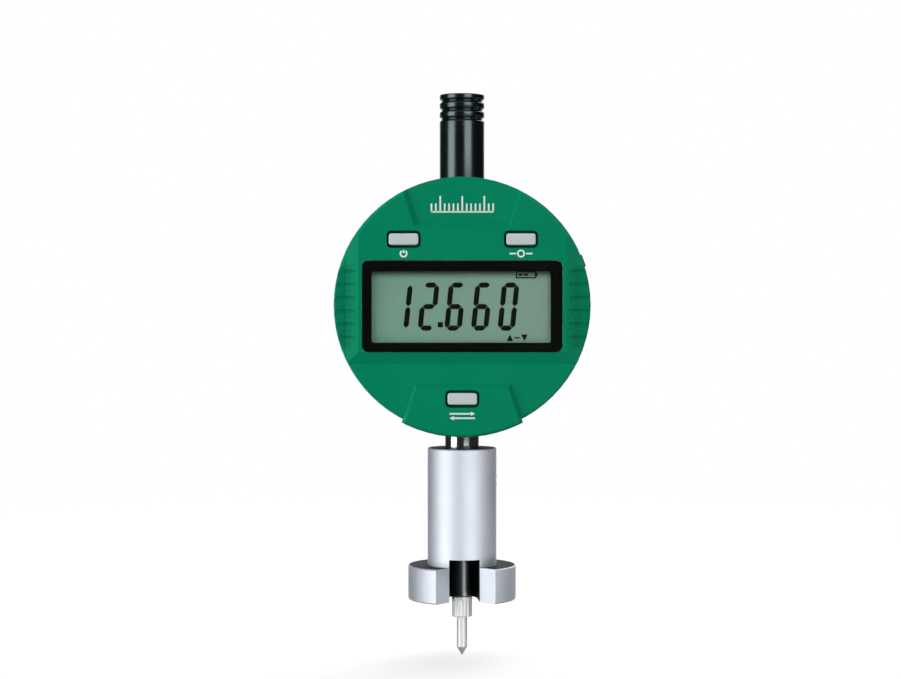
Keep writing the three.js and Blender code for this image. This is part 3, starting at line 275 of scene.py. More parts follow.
def plate(
    outline: Array, place: Place, low: float, high: float, edge: float = 0.0, crown: float = 0.0
) -> Surface:
    """A plate whose upper edge is a quarter circle and whose top may be crowned.

    Each ring is the outline moved inwards by its inset and multiplied by its scale about its middle.
    On the edge the inset is the radius times one minus the cosine; on the crown the height falls
    with the square of the scale. A narrow ring inside the edge keeps a flat top flat in its shading.

    Args:
        outline: the anticlockwise outline.
        place: where it lies.
        low: the height of its flat underside along the place's third axis.
        high: the height of its top's rim.
        edge: the upper edge's radius.
        crown: how far the middle rises above the rim.

    Returns:
        The closed surface.
    """
    turns = np.linspace(0, math.pi / 2, EDGE_STEPS + 1) if edge else np.zeros(1)
    levels = [(0.0, 1.0, low)]
    levels += [(edge * (1 - math.cos(a)), 1.0, high - edge * (1 - math.sin(a))) for a in turns]
    if crown:
        shares = np.linspace(1, 0, EDGE_STEPS * 2 + 1)[1:]
        levels += [(edge, share, high + crown * (1 - share ** 2)) for share in shares]
    elif edge:
        levels.append((edge + FLAT_MARGIN, 1.0, high))
    insets, scales, heights = np.array(levels).T
    outline = outline[np.linalg.norm(np.roll(outline, -1, axis=0) - outline, axis=1) > TINY]
    middle = (outline.max(axis=0) + outline.min(axis=0)) / 2
    rings = outline[None] + insets[:, None, None] * mitres(outline)[None]
    rings = middle + (rings - middle) * scales[:, None, None]
    return skin(rings, heights, place)


def node_box(name: str) -> tuple[Array, Array]:
    """The lowest and highest corner of a CAD node in millimetres."""
    low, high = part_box(name)
    return np.array(low) / MM, np.array(high) / MM


def turned_size(name: str) -> tuple[float, float, float]:
    """The radius, the bottom and the top of a CAD node that stands on the gauge's axis."""
    low, high = node_box(name)
    return (high[0] - low[0]) / 2, low[2], high[2]


def case_middle_z() -> float:
    """The height of the case's middle in millimetres."""
    low, high = node_box("rear_cover")
    return float(low[2] + high[2]) / 2


# Finishes

# Settings that several nodes share
COLOUR_MIX = {"data_type": "RGBA"}
SOFT_STEP = {"interpolation_type": "SMOOTHSTEP"}
MULTIPLY = {"operation": "MULTIPLY"}
MAXIMUM = {"operation": "MAXIMUM"}
# The Mix node's colour sockets share their names with its other sockets, so they go by number.
FIRST_COLOUR = 6
SECOND_COLOUR = 7
MIXED_COLOUR = 2
# Where the wide noise seldom goes lower or higher.
NOISE_SPAN = (0.3, 0.7)


def linear(colour: str) -> tuple[float, float, float, float]:
    """An sRGB hex colour as linear light, by the sRGB curve.

    Args:
        colour: six hex digits after a #.

    Returns:
        Red, green, blue and an alpha of 1.
    """
    shares = np.array([int(colour[i:i + 2], 16) for i in (1, 3, 5)]) / 255
    light = np.where(shares <= 0.04045, shares / 12.92, ((shares + 0.055) / 1.055) ** 2.4)
    return (*light.tolist(), 1.0)


def add_node(
    tree: Tree, kind: str, settings: dict | None = None, inputs: dict | Sequence = ()
) -> Collection:
    """Adds a node, sets its settings, and sets or links its inputs.

    Args:
        tree: the node tree.
        kind: the node's type name.
        settings: attributes by name.
        inputs: values or sockets, in order or by input name or number; a socket is linked.

    Returns:
        The node's outputs.
    """
    node = tree.nodes.new(kind)
    for name, value in (settings or {}).items():
        setattr(node, name, value)
    for name, value in inputs.items() if isinstance(inputs, dict) else enumerate(inputs):
        if isinstance(value, Socket):
            tree.links.new(value, node.inputs[name])
        else:
            node.inputs[name].default_value = value
    return node.outputs


@dataclass(frozen=True)
class Finish:
    """A real material and how its surface was made.

    The colour wanders between the base colour and a second one in wide soft patches, the roughness
    wanders with the same patches, and a fine grain lifts and lowers the surface.
    """

    name: str
    slot: str
    colour: str
    second_colour: str
    roughness: float
    metallic: float = 0.0
    ior: float = 1.5
    roughness_spread: float = 0.04
    patch_mm: float = 9.0
    patch_detail: float = 3.0
    grain_mm: float = 0.3
    grain_depth_mm: float = 0.0
    grain_detail: float = 2.0
    lengthening: Point = (1.0, 1.0, 1.0)
    specular: float = 0.5
    sheen_tint: str = "#FFFFFF"

    def shader_settings(self) -> dict[str, float | tuple]:
        """The shader's constant sockets; a metal keeps the shader's own index of refraction.

        Returns:
            Their values by name.
        """
        if self.metallic:
            return {"Metallic": self.metallic}
        return {
            "Metallic": 0.0, "IOR": self.ior, "Specular IOR Level": self.specular,
            "Specular Tint": linear(self.sheen_tint),
        }

    def base_colour(self, tree: Tree, patches: Socket) -> Socket:
        """The two colours mixed by the wide soft patches."""
        colours = {FIRST_COLOUR: linear(self.colour), SECOND_COLOUR: linear(self.second_colour)}
        return add_node(tree, "ShaderNodeMix", COLOUR_MIX, {0: patches, **colours})[MIXED_COLOUR]

    def make(self) -> bpy.types.Material:
        """Builds the material once.

        Returns:
            The material.
        """
        if self.name in bpy.data.materials:
            return bpy.data.materials[self.name]
        material = bpy.data.materials.new(self.name)
        material.use_nodes = True
        tree = material.node_tree
        shader = tree.nodes["Principled BSDF"]
        for name, value in self.shader_settings().items():
            shader.inputs[name].default_value = value
        where = add_node(tree, "ShaderNodeTexCoord")["Object"]
        patches = add_node(tree, "ShaderNodeTexNoise", inputs={
            "Vector": where, "Scale": 1 / (self.patch_mm * MM), "Detail": self.patch_detail,
        })["Fac"]
        tree.links.new(self.base_colour(tree, patches), shader.inputs["Base Color"])
        roughest = self.roughness + self.roughness_spread
        smoothest = self.roughness - self.roughness_spread
        rough = add_node(tree, "ShaderNodeMapRange", inputs=(patches, *NOISE_SPAN, smoothest, roughest))
        tree.links.new(rough["Result"], shader.inputs["Roughness"])
        if self.grain_depth_mm:
            tree.links.new(self.grain(tree, where), shader.inputs["Normal"])
        return material

    def grain(self, tree: Tree, where: Socket) -> Socket:
        """Fine noise, as wide as one grain, as a bump.

        Args:
            tree: the material's tree.
            where: the place on the piece.

        Returns:
            The normal's socket.
        """
        placed = add_node(tree, "ShaderNodeMapping", inputs={"Vector": where, "Scale": self.lengthening})
        noise = add_node(tree, "ShaderNodeTexNoise", inputs={
            "Vector": placed["Vector"], "Scale": 1 / (self.grain_mm * MM), "Detail": self.grain_detail,
        })
        bump = add_node(tree, "ShaderNodeBump", inputs={
            "Height": noise["Fac"], "Distance": self.grain_depth_mm * MM, "Strength": 1.0,
        })
        return bump["Normal"]


@dataclass(frozen=True)
class ClearFinish(Finish):
    """A clear plastic or glass: light goes through it."""

    def shader_settings(self) -> dict[str, float]:
        """The shader's constant sockets, with full transmission."""
        return {"IOR": self.ior, "Transmission Weight": 1.0}


@dataclass(frozen=True)
class GripShadeFinish(Finish):
    """Moulded plastic, with painted shade on its grips at both sides: a darker green where their grooves
    lie in shade.
    """

    # painted shade: this darker green stands in for the shade in the grips
    grip_shade_colour: str = "#027654"
    grips_from_x_mm: float = 24.6
    grips_centre_z_mm: float = 80.9
    grips_half_height_mm: float = 8.8
    front_from_y_mm: float = 10.3
    blend_mm: float = 1.2
    front_blend_mm: float = 0.6

    def base_colour(self, tree: Tree, patches: Socket) -> Socket:
        """The plain colour, mixed with the grips' painted shade by a mask that is 1 on them and fades
        out.

        The mask is the product of three soft steps: aside, by height and towards the front.

        Args:
            tree: the material's tree.
            patches: the wide soft noise.

        Returns:
            The colour socket.
        """
        middle = (0.0, 0.0, -self.grips_centre_z_mm * MM)
        where = add_node(tree, "ShaderNodeTexCoord")["Object"]
        centred = add_node(tree, "ShaderNodeVectorMath", {"operation": "ADD"}, (where, middle))
        mirrored = add_node(
            tree, "ShaderNodeVectorMath", {"operation": "ABSOLUTE"}, (centred["Vector"],))
        away = add_node(tree, "ShaderNodeSeparateXYZ", inputs=(mirrored["Vector"],))
        mask = 1.0
        for part, start_mm, blend_mm, ends in (
            ("X", self.grips_from_x_mm, self.blend_mm, (0.0, 1.0)),
            ("Z", self.grips_half_height_mm, self.blend_mm, (1.0, 0.0)),
            ("Y", self.front_from_y_mm, self.front_blend_mm, (0.0, 1.0)),
        ):
            span = (start_mm * MM, (start_mm + blend_mm) * MM)
            step = add_node(tree, "ShaderNodeMapRange", SOFT_STEP, (away[part], *span, *ends))
            mask = add_node(tree, "ShaderNodeMath", MULTIPLY, (mask, step["Result"]))[0]
        plain = super().base_colour(tree, patches)
        return add_node(tree, "ShaderNodeMix", COLOUR_MIX, {
            0: mask, FIRST_COLOUR: plain, SECOND_COLOUR: linear(self.grip_shade_colour),
        })[MIXED_COLOUR]


@dataclass(frozen=True)
class DisplayFinish(Finish):
    """Display glass over a reflector: its tint lightens from one side to the other.

    Under its upper border it is darker, where the border's soft shadow falls on the reflector.
    """

    dark_x_mm: float = -20.0
    light_x_mm: float = 20.0
    shade: str = "#26352D"
    shade_from_z_mm: float = 87.0
    shade_to_z_mm: float = 89.2

    def base_colour(self, tree: Tree, patches: Socket) -> Socket:
        """The two colours mixed by how far right a point is, then with the shade by its height.

        Args:
            tree: the material's tree.
            patches: unused here, because the glass has no patches.

        Returns:
            The colour socket.
        """
        where = add_node(tree, "ShaderNodeTexCoord")["Object"]
        place = add_node(tree, "ShaderNodeSeparateXYZ", inputs=(where,))
        aside = add_node(tree, "ShaderNodeMapRange", inputs=(
            place["X"], self.dark_x_mm * MM, self.light_x_mm * MM))
        shaded = add_node(tree, "ShaderNodeMapRange", SOFT_STEP, (
            place["Z"], self.shade_from_z_mm * MM, self.shade_to_z_mm * MM))
        plain = super().base_colour(tree, aside["Result"])
        return add_node(tree, "ShaderNodeMix", COLOUR_MIX, {
            0: shaded["Result"], FIRST_COLOUR: plain, SECOND_COLOUR: linear(self.shade),
        })[MIXED_COLOUR]


@dataclass(frozen=True)
class BoardFinish(Finish):
    """Circuit board: copper tracks show as slightly lighter lines under the green mask."""

    track_cell_mm: float = 3.2
    unevenness: float = 0.35
    track_span: FlatPoint = (0.45, 0.5)

    def base_colour(self, tree: Tree, patches: Socket) -> Socket:
        """The two colours mixed by the rims of a pattern of straight-sided cells.

        Args:
            tree: the material's tree.
            patches: unused here, because the tracks take the patches' place.

        Returns:
            The colour socket.
        """
        cells = add_node(tree, "ShaderNodeTexVoronoi", {"distance": "MANHATTAN"}, {
            "Vector": add_node(tree, "ShaderNodeTexCoord")["Object"],
            "Scale": 1 / (self.track_cell_mm * MM), "Randomness": self.unevenness,
        })
        tracks = add_node(tree, "ShaderNodeMapRange", inputs=(cells["Distance"], *self.track_span))
        return super().base_colour(tree, tracks["Result"])


TURNED = (0.04, 0.04, 1.0)

# ABS moulded in a spark-eroded tool: satin, even colour, a fine grain that softens highlights, and
# painted shade on the grips at both sides, a darker green where their grooves lie in shade
GREEN_ABS = GripShadeFinish(
    "green_abs_moulded", "green_shell", "#03815E", "#04855F", 0.36,
    ior=1.53, grain_mm=0.35, grain_depth_mm=0.004, specular=0.03)
# ABS with a coarser grain: dull black that goes grey where light grazes it
BLACK_ABS = Finish(
    "black_abs_moulded", "black_plastic", "#17191B", "#1C1E20", 0.5,
    ior=1.53, grain_mm=0.45, grain_depth_mm=0.02)
# glass-filled PBT: matte dark grey
DARK_PBT = Finish(
    "dark_pbt_moulded", "dark_plastic", "#2B2E31", "#313538", 0.6, ior=1.57, grain_depth_mm=0.01)
# turned aluminium under black anodising: deep black with sharp highlights and faint turning rings
BLACK_ANODISED = Finish(
    "black_anodised_aluminium_turned", "black_anodised", "#03090A", "#060D0E", 0.23,
    ior=1.6, roughness_spread=0.03, grain_mm=0.35, grain_depth_mm=0.0008, lengthening=(0.03, 0.03, 1.0),
    specular=0.62, sheen_tint="#E6FFFF")
# acrylic sheet, cut and polished: clear, with the lamps' reflections
CLEAR_ACRYLIC = ClearFinish(
    "clear_acrylic_polished", "clear_window", "#FFFFFF", "#FFFFFF", 0.03, ior=1.49, roughness_spread=0.0)
# screen-printed ink behind the window: even, deep and glossy
BLACK_INK = Finish(
    "black_ink_screen_printed", "black_ink", "#030603", "#040704", 0.15, specular=0.1)
# display glass over a grey-green reflector, seen through its polariser
DISPLAY_GLASS = DisplayFinish(
    "display_glass_polarised", "display_glass", "#658A77", "#6F887C", 0.4,
    ior=1.52, roughness_spread=0.02, specular=0.15)
# liquid crystal segments that are on: nearly black, faintly green
DISPLAY_SEGMENT = Finish(
    "display_segment_dark", "display_glass", "#020604", "#030806", 0.5, ior=1.52, specular=0.05)
# silicone-coated ABS keys: light cool grey, satin
KEY_ABS = Finish(
    "light_grey_abs_moulded", "grey_button", "#BFCACA", "#C4CECE", 0.42, ior=1.53, grain_depth_mm=0.004)
# pad-printed ink: flat off-white
WHITE_INK = Finish("white_ink_pad_printed", "grey_button", "#DDE6E2", "#E4ECE8", 0.55)
# stainless steel, turned and fine ground: pale, with broad soft highlights and rings round it
GROUND_STEEL = Finish(
    "stainless_steel_ground", "base_steel", "#E5EBF4", "#EAEFF7", 0.64,
    metallic=1.0, grain_depth_mm=0.0016, lengthening=TURNED)
# painted shade: steel darkened where the bores, the slot and the upward faces lie in shade; dark and dull
PAINTED_SHADE_STEEL = Finish(
    "steel_painted_shade", "base_steel", "#1A2426", "#1F2A2C", 0.6, specular=0.12, grain_depth_mm=0.001)
# hardened steel, ground and lapped: mirror-like, with the finest rings
POLISHED_STEEL = Finish(
    "hardened_steel_lapped", "polished_steel", "#D6D8DB", "#DADCDE", 0.12,
    metallic=1.0, grain_depth_mm=0.0006, lengthening=TURNED)
# hardened steel, fine ground, with one soft highlight; painted shade makes it darker than the lapped
# stem, for the shade in the foot's slot
SHADED_SPINDLE_STEEL = Finish(
    "hardened_steel_fine_ground_painted_shade", "polished_steel", "#71777A", "#777C7F", 0.38,
    metallic=1.0, grain_depth_mm=0.0006, lengthening=TURNED)
# hardened steel, blasted: pale and even, almost without highlights
NEEDLE_STEEL = Finish(
    "hardened_steel_blasted", "polished_steel", "#F0F1F2", "#F4F5F6", 0.62,
    metallic=1.0, grain_depth_mm=0.0006)
# turned leaded brass: warm yellow, with highlights drawn out by the turning
BUSH_BRASS = Finish(
    "brass_turned", "bush_brass", "#C6A25A", "#BD9850", 0.28,
    metallic=1.0, grain_mm=0.2, grain_depth_mm=0.002, lengthening=TURNED)
# zinc die casting: dull grey with a pebbled skin
CAST_ZINC = Finish(
    "zinc_alloy_die_cast", "cast_alloy", "#9A9FA1", "#8E9395", 0.5,
    metallic=1.0, patch_mm=4.0, grain_mm=0.6, grain_depth_mm=0.03)
# fibreglass board under solder mask: glossy green with lighter tracks
CIRCUIT_BOARD = BoardFinish(
    "fibreglass_board_solder_mask", "circuit_board", "#175C38", "#2A7A4C", 0.35, ior=1.55)
# glass scale plated with a fine gold grating: yellow, with cross lines
SCALE_GLASS = Finish(
    "glass_scale_plated", "scale_glass", "#B39A4E", "#A98F45", 0.2,
    ior=1.52, grain_depth_mm=0.002, lengthening=(0.04, 1.0, 1.0))
# nitrile rubber, moulded: black without a shine
BLACK_RUBBER = Finish(
    "black_nitrile_rubber_moulded", "black_rubber", "#17191A", "#1B1D1E", 0.75,
    ior=1.52, grain_mm=0.4, grain_depth_mm=0.015)
# thermoplastic rubber, moulded: dark grey, dull
GREY_RUBBER = Finish(
    "grey_thermoplastic_rubber_moulded", "grey_rubber", "#3A3F43", "#3F4448", 0.7,
    grain_mm=0.4, grain_depth_mm=0.015)
# nickel plate on steel: bright and slightly warm
NICKEL_PLATE = Finish(
    "nickel_plated_steel", "nickel_steel", "#C8C6C1", "#CFCDC8", 0.24,
    metallic=1.0, grain_mm=0.25, grain_depth_mm=0.0015)

SLOT_FINISHES = {
    finish.slot: finish for finish in (
        GREEN_ABS, BLACK_ABS, DARK_PBT, BLACK_ANODISED, CLEAR_ACRYLIC, BLACK_INK, DISPLAY_GLASS,
        KEY_ABS, GROUND_STEEL, POLISHED_STEEL, BUSH_BRASS, CAST_ZINC, CIRCUIT_BOARD, SCALE_GLASS,
        BLACK_RUBBER, GREY_RUBBER, NICKEL_PLATE)
}


# Pieces

def read_rows(items: Collection, attribute: str, width: int = 1, kind: type = float) -> Array:
    """One attribute of all of a mesh's points, corners or faces.

    Args:
        items: the points, corners or faces.
        attribute: the attribute's name.
        width: how many numbers each of them has.
        kind: the numbers' type.

    Returns:
        The numbers, as rows where the width is over one.
    """
    values = np.empty(len(items) * width, kind)
    items.foreach_get(attribute, values)
    return values.reshape(-1, width) if width > 1 else values


class MeshRows:
    """A mesh's points in millimetres, and its faces, as whole arrays."""

    def __init__(self, mesh: Mesh) -> None:
        """Reads a mesh.

        Args:
            mesh: the mesh.
        """
        self.sizes = read_rows(mesh.polygons, "loop_total", kind=int)
        self.facing = read_rows(mesh.polygons, "normal", 3)
        self.corners = (read_rows(mesh.vertices, "co", 3) / MM)[
            read_rows(mesh.loops, "vertex_index", kind=int)]
        self.face_of_corner = np.repeat(np.arange(len(self.sizes)), self.sizes)

    def face_means(self, values: Array) -> Array:
        """The mean over each face's corners of one value for each corner."""
        return np.bincount(self.face_of_corner, values, len(self.sizes)) / self.sizes


def weld(mesh: Mesh, distance: float) -> None:
    """Merges a mesh's doubles and shades it smooth.

    Args:
        mesh: the mesh.
        distance: how near doubles are, in metres.
    """
    work = bmesh.new()
    work.from_mesh(mesh)
    bmesh.ops.remove_doubles(work, verts=work.verts, dist=distance)
    work.to_mesh(mesh)
    work.free()
    mesh.polygons.foreach_set("use_smooth", np.ones(len(mesh.polygons), bool))


def add_piece(
    name: str, shape: Surface | Mesh, body: str, finish: Finish, stands_for: Iterable[str] = ()
) -> bpy.types.Object:
    """Puts a finished piece in the scene, dressed and riding on its body.

    A surface becomes a mesh in metres with its doubles merged, smooth up to the sharp angle.

    Args:
        name: the piece's name.
        shape: its surface, or its ready mesh.
        body: the body that it moves with.
        finish: its material.
        stands_for: the CAD nodes that it is shown instead of.

    Returns:
        The object.
    """
    mesh = shape
    if isinstance(shape, Surface):
        mesh = bpy.data.meshes.new(name)
        mesh.from_pydata((shape.points * MM).tolist(), [], shape.faces)
        weld(mesh, MERGE_DISTANCE)
        mesh.set_sharp_from_angle(angle=SHARP_ANGLE)
    piece = bpy.data.objects.new(name, mesh)
    bpy.context.scene.collection.objects.link(piece)
    mesh.materials.clear()
    mesh.materials.append(finish.make())
    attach(piece, body)
    replaced = tuple(stands_for)
    if replaced:
        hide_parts(*replaced)
    logging.info("%s: %d faces, %s", name, len(mesh.polygons), finish.name)
    return piece


def dress_faces(piece: bpy.types.Object, chosen: Array, finish: Finish) -> None:
    """Gives the chosen faces of a piece a second material."""
    piece.data.materials.append(finish.make())
    piece.data.polygons.foreach_set("material_index", chosen.astype(np.int32))


@dataclass(frozen=True)
class RoundBand:
    """The faces of a CAD node that belong to one turned surface.

    They lie between two distances from an axis, and face away from it or towards it.
    """

    origin: Point
    axis: Point
    inner: float
    outer: float
    tolerance: float = math.radians(9)


def turned_normals(mesh: Mesh, bands: Sequence[RoundBand]) -> Array:
    """Corner normals of a merged CAD mesh, exact on its turned surfaces.

    A facet's normal is split into its part along the axis and its part across it. Where the part
    across points along the corner's own radius, up to the tolerance, it is turned to that radius.

    Args:
        mesh: the merged mesh.
        bands: its turned surfaces.

    Returns:
        One normal for each face corner.
    """
    rows = MeshRows(mesh)
    normals = np.repeat(rows.facing, rows.sizes, axis=0)
    for band in bands:
        axis = np.asarray(band.axis, float)
        out = rows.corners - np.asarray(band.origin)
        out = out - (out @ axis)[:, None] * axis
        distance = np.linalg.norm(out, axis=1)
        radial = unit(out)
        along = (normals @ axis)[:, None] * axis
        across = normals - along
        length = np.linalg.norm(across, axis=1)
        cosine = (unit(across) * radial).sum(axis=1)
        good = (length > LEAST_ACROSS) & (np.abs(cosine) > math.cos(band.tolerance))
        good &= (distance > band.inner) & (distance < band.outer)
        whole = rows.face_means(good) == 1
        exact = along + radial * (length * np.sign(cosine))[:, None]
        normals = np.where(whole[rows.face_of_corner][:, None], exact, normals)
    return normals


def merged_copy(node: str, bands: Sequence[RoundBand]) -> Mesh:
    """A copy of a CAD node's mesh with its doubles merged and its round faces shaded round.

    Args:
        node: the CAD node.
        bands: its turned surfaces.

    Returns:
        The new mesh.
    """
    mesh = frame["nodes"][node].data.copy()
    mesh.name = node + "_merged"
    weld(mesh, CAD_MERGE_DISTANCE)
    mesh.normals_split_custom_set(turned_normals(mesh, bands).tolist())
    return mesh


@dataclass
class Screw:
    """A turned screw with a six-sided socket in its top, which ends in a small cone."""

    socket: float = 1.1
    socket_depth: float = 0.7
    cone_share: float = 0.5
    edge: float = 0.3

    def surface(self, profile: Array, place: Place) -> Surface:
        """The screw's rings: circles up to the socket's rim, then hexagons down to its middle.

        Args:
            profile: rows of radius and height, from the middle of the end to the socket's rim.
            place: where the screw lies.

        Returns:
            The closed surface.
        """
        top = profile[-1, 1]
        floor = top - self.socket_depth
        inside = np.array([
            (1.0, top), (1.0, floor), (self.cone_share, floor - self.edge), (0.0, floor - self.edge)])
        rings = np.concatenate([
            profile[:, 0, None, None] * circle(SMALL_SEGMENTS)[None],
            inside[:, 0, None, None] * self.socket * hexagon()[None],
        ])
        return skin(rings, np.concatenate([profile[:, 1], inside[:, 1]]), place)


@dataclass
class CoverScrew(Screw):
    """A screw of the back cover, with a round head."""

    shank: float = 1.0
    head: float = 2.0
    head_height: float = 1.4

    def build(self, node: str) -> None:
        """Builds the screw.

        Args:
            node: the CAD screw that it stands for.
        """
        low, high = node_box(node)
        bottom, top, edge = low[1], high[1], self.edge
        seat = top - self.head_height
        profile = round_corners([
            (0, bottom), (self.shank, bottom), (self.shank, seat), (self.head, seat),
            (self.head, top), (self.socket + edge, top),
        ], [0, edge, 0, 0, edge, 0])
        place = Place(((low[0] + high[0]) / 2, 0, (low[2] + high[2]) / 2), Direction.BACK.value)
        add_piece(node + "_head", self.surface(profile, place), "indicator", NICKEL_PLATE, [node])


@dataclass
class PortCover:
    """The rubber cover in the rim: a soft-edged plate on a plug, with a lip to pull it by."""

    angle: float = math.radians(20.3)
    corner: float = 0.6
    edge: float = 0.3
    plate: float = 1.0
    crown: float = 0.1
    plug_shorter: float = 2.6
    plug_lower: float = 1.2
    lip: float = 0.35
    lip_width: float = 1.2
    lip_lower: float = 0.8
    lip_corner: float = 0.5
    lip_from_end: float = 1.4
    lip_edge: float = 0.25

    def build(self) -> None:
        """Builds the cover."""
        cosine, sine = math.cos(self.angle), math.sin(self.angle)
        axes = (ALONG_Y, (-sine, 0.0, cosine), (cosine, 0.0, sine))
        place = Place((0, 0, case_middle_z()), axes)
        low, high = place.box_of("data_port_cover")
        length, height, _ = high - low
        outer = high[2]
        inner = outer - self.plate
        plug_outline = rectangle(length - self.plug_shorter, height - self.plug_lower, self.edge)
        lip_middle = (length / 2 - self.lip_from_end, 0)
        lip_outline = rectangle(self.lip_width, height - self.lip_lower, self.lip_corner, lip_middle)
        cover = Surface.joined([
            plate(rectangle(length, height, self.corner), place, inner, outer - self.lip, self.edge,
                  self.crown),
            plate(plug_outline, place, low[2], inner + self.edge),
            plate(lip_outline, place, inner + self.edge, outer, self.lip_edge),
        ])
        add_piece("port_cover", cover, "data_port_cover", GREY_RUBBER, ["data_port_cover"])


@dataclass
class Housing:
    """The round case: green front shell, black back cover with its screws and battery door."""

    rim_band: float = 1.8
    rim_margin: float = 0.3
    door_band: float = 0.2
    screws: int = 4
    relief: float = 1.0
    plateau_half_width: float = 23.6
    slope_width: float = 2.8
    grips: int = 6
    grip_pitch: float = 3.0
    grip_radius: float = 1.8
    grip_depth: float = 0.3
    grips_below_middle: float = 0.4

    def build(self) -> None:
        """Builds and dresses every piece of the case."""
        radius, _, _ = turned_size("rear_cover")
        rim = RoundBand(
            (0, 0, case_middle_z()), ALONG_Y, radius - self.rim_band, radius + self.rim_margin)
        low, high = node_box("battery_cover")
        door_x, _, door_z = (low + high) / 2
        door_radius = (high[2] - low[2]) / 2
        door = RoundBand(
            (door_x, 0, door_z), ALONG_Y, door_radius - self.door_band, door_radius + self.rim_margin)
        for name, node, bands, body, finish in (
            ("front_shell", "front_case", [rim, *self.grip_bands()], "indicator", GREEN_ABS),
            ("back_cover", "rear_cover", [rim, door], "indicator", BLACK_ABS),
            ("battery_door", "battery_cover", [door], "battery_cover", BLACK_ABS),
        ):
            add_piece(name, merged_copy(node, bands), body, finish, [node])
        for index in range(self.screws):
            CoverScrew().build(f"cover_screw_{index + 1}")
        PortCover().build()

    def grip_bands(self) -> list[RoundBand]:
        """The round grooves of the grips: across the field, and up the slope of the raised panel.

        Returns:
            Three bands for each groove.
        """
        field_y = float(node_box("front_case")[0][1]) + self.relief
        slope = math.atan(self.relief / self.slope_width)
        cosine, sine = math.cos(slope), math.sin(slope)
        in_front = self.grip_radius - self.grip_depth
        foot_x = self.plateau_half_width + self.slope_width + in_front * sine
        limits = (self.grip_radius - GROOVE_MARGIN, self.grip_radius + GROOVE_MARGIN)
        bands = []
        for index in range(self.grips):
            above = ((self.grips - 1) / 2 - index) * self.grip_pitch - self.grips_below_middle
            z = case_middle_z() + above
            bands.append(RoundBand((0.0, field_y - in_front, z), (1.0, 0.0, 0.0), *limits))
            for side in (1, -1):
                origin = (side * foot_x, field_y - in_front * cosine, z)
                bands.append(RoundBand(origin, (cosine, side * sine, 0.0), *limits))
        return bands


class Stroke(Enum):
    """The seven strokes of a display digit, each as its two ends on a cell two units high."""

    TOP = ((-1, 2), (1, 2))
    UPPER_RIGHT = ((1, 2), (1, 0))
    LOWER_RIGHT = ((1, 0), (1, -2))
    BOTTOM = ((-1, -2), (1, -2))
    LOWER_LEFT = ((-1, 0), (-1, -2))
    UPPER_LEFT = ((-1, 2), (-1, 0))
    MIDDLE = ((-1, 0), (1, 0))


DIGIT_STROKES = {
    "0": (Stroke.TOP, Stroke.UPPER_RIGHT, Stroke.LOWER_RIGHT, Stroke.BOTTOM, Stroke.LOWER_LEFT,
          Stroke.UPPER_LEFT),
    "1": (Stroke.UPPER_RIGHT, Stroke.LOWER_RIGHT),
    "2": (Stroke.TOP, Stroke.UPPER_RIGHT, Stroke.MIDDLE, Stroke.LOWER_LEFT, Stroke.BOTTOM),
    "6": (Stroke.TOP, Stroke.UPPER_LEFT, Stroke.MIDDLE, Stroke.LOWER_LEFT, Stroke.LOWER_RIGHT,
          Stroke.BOTTOM),
}


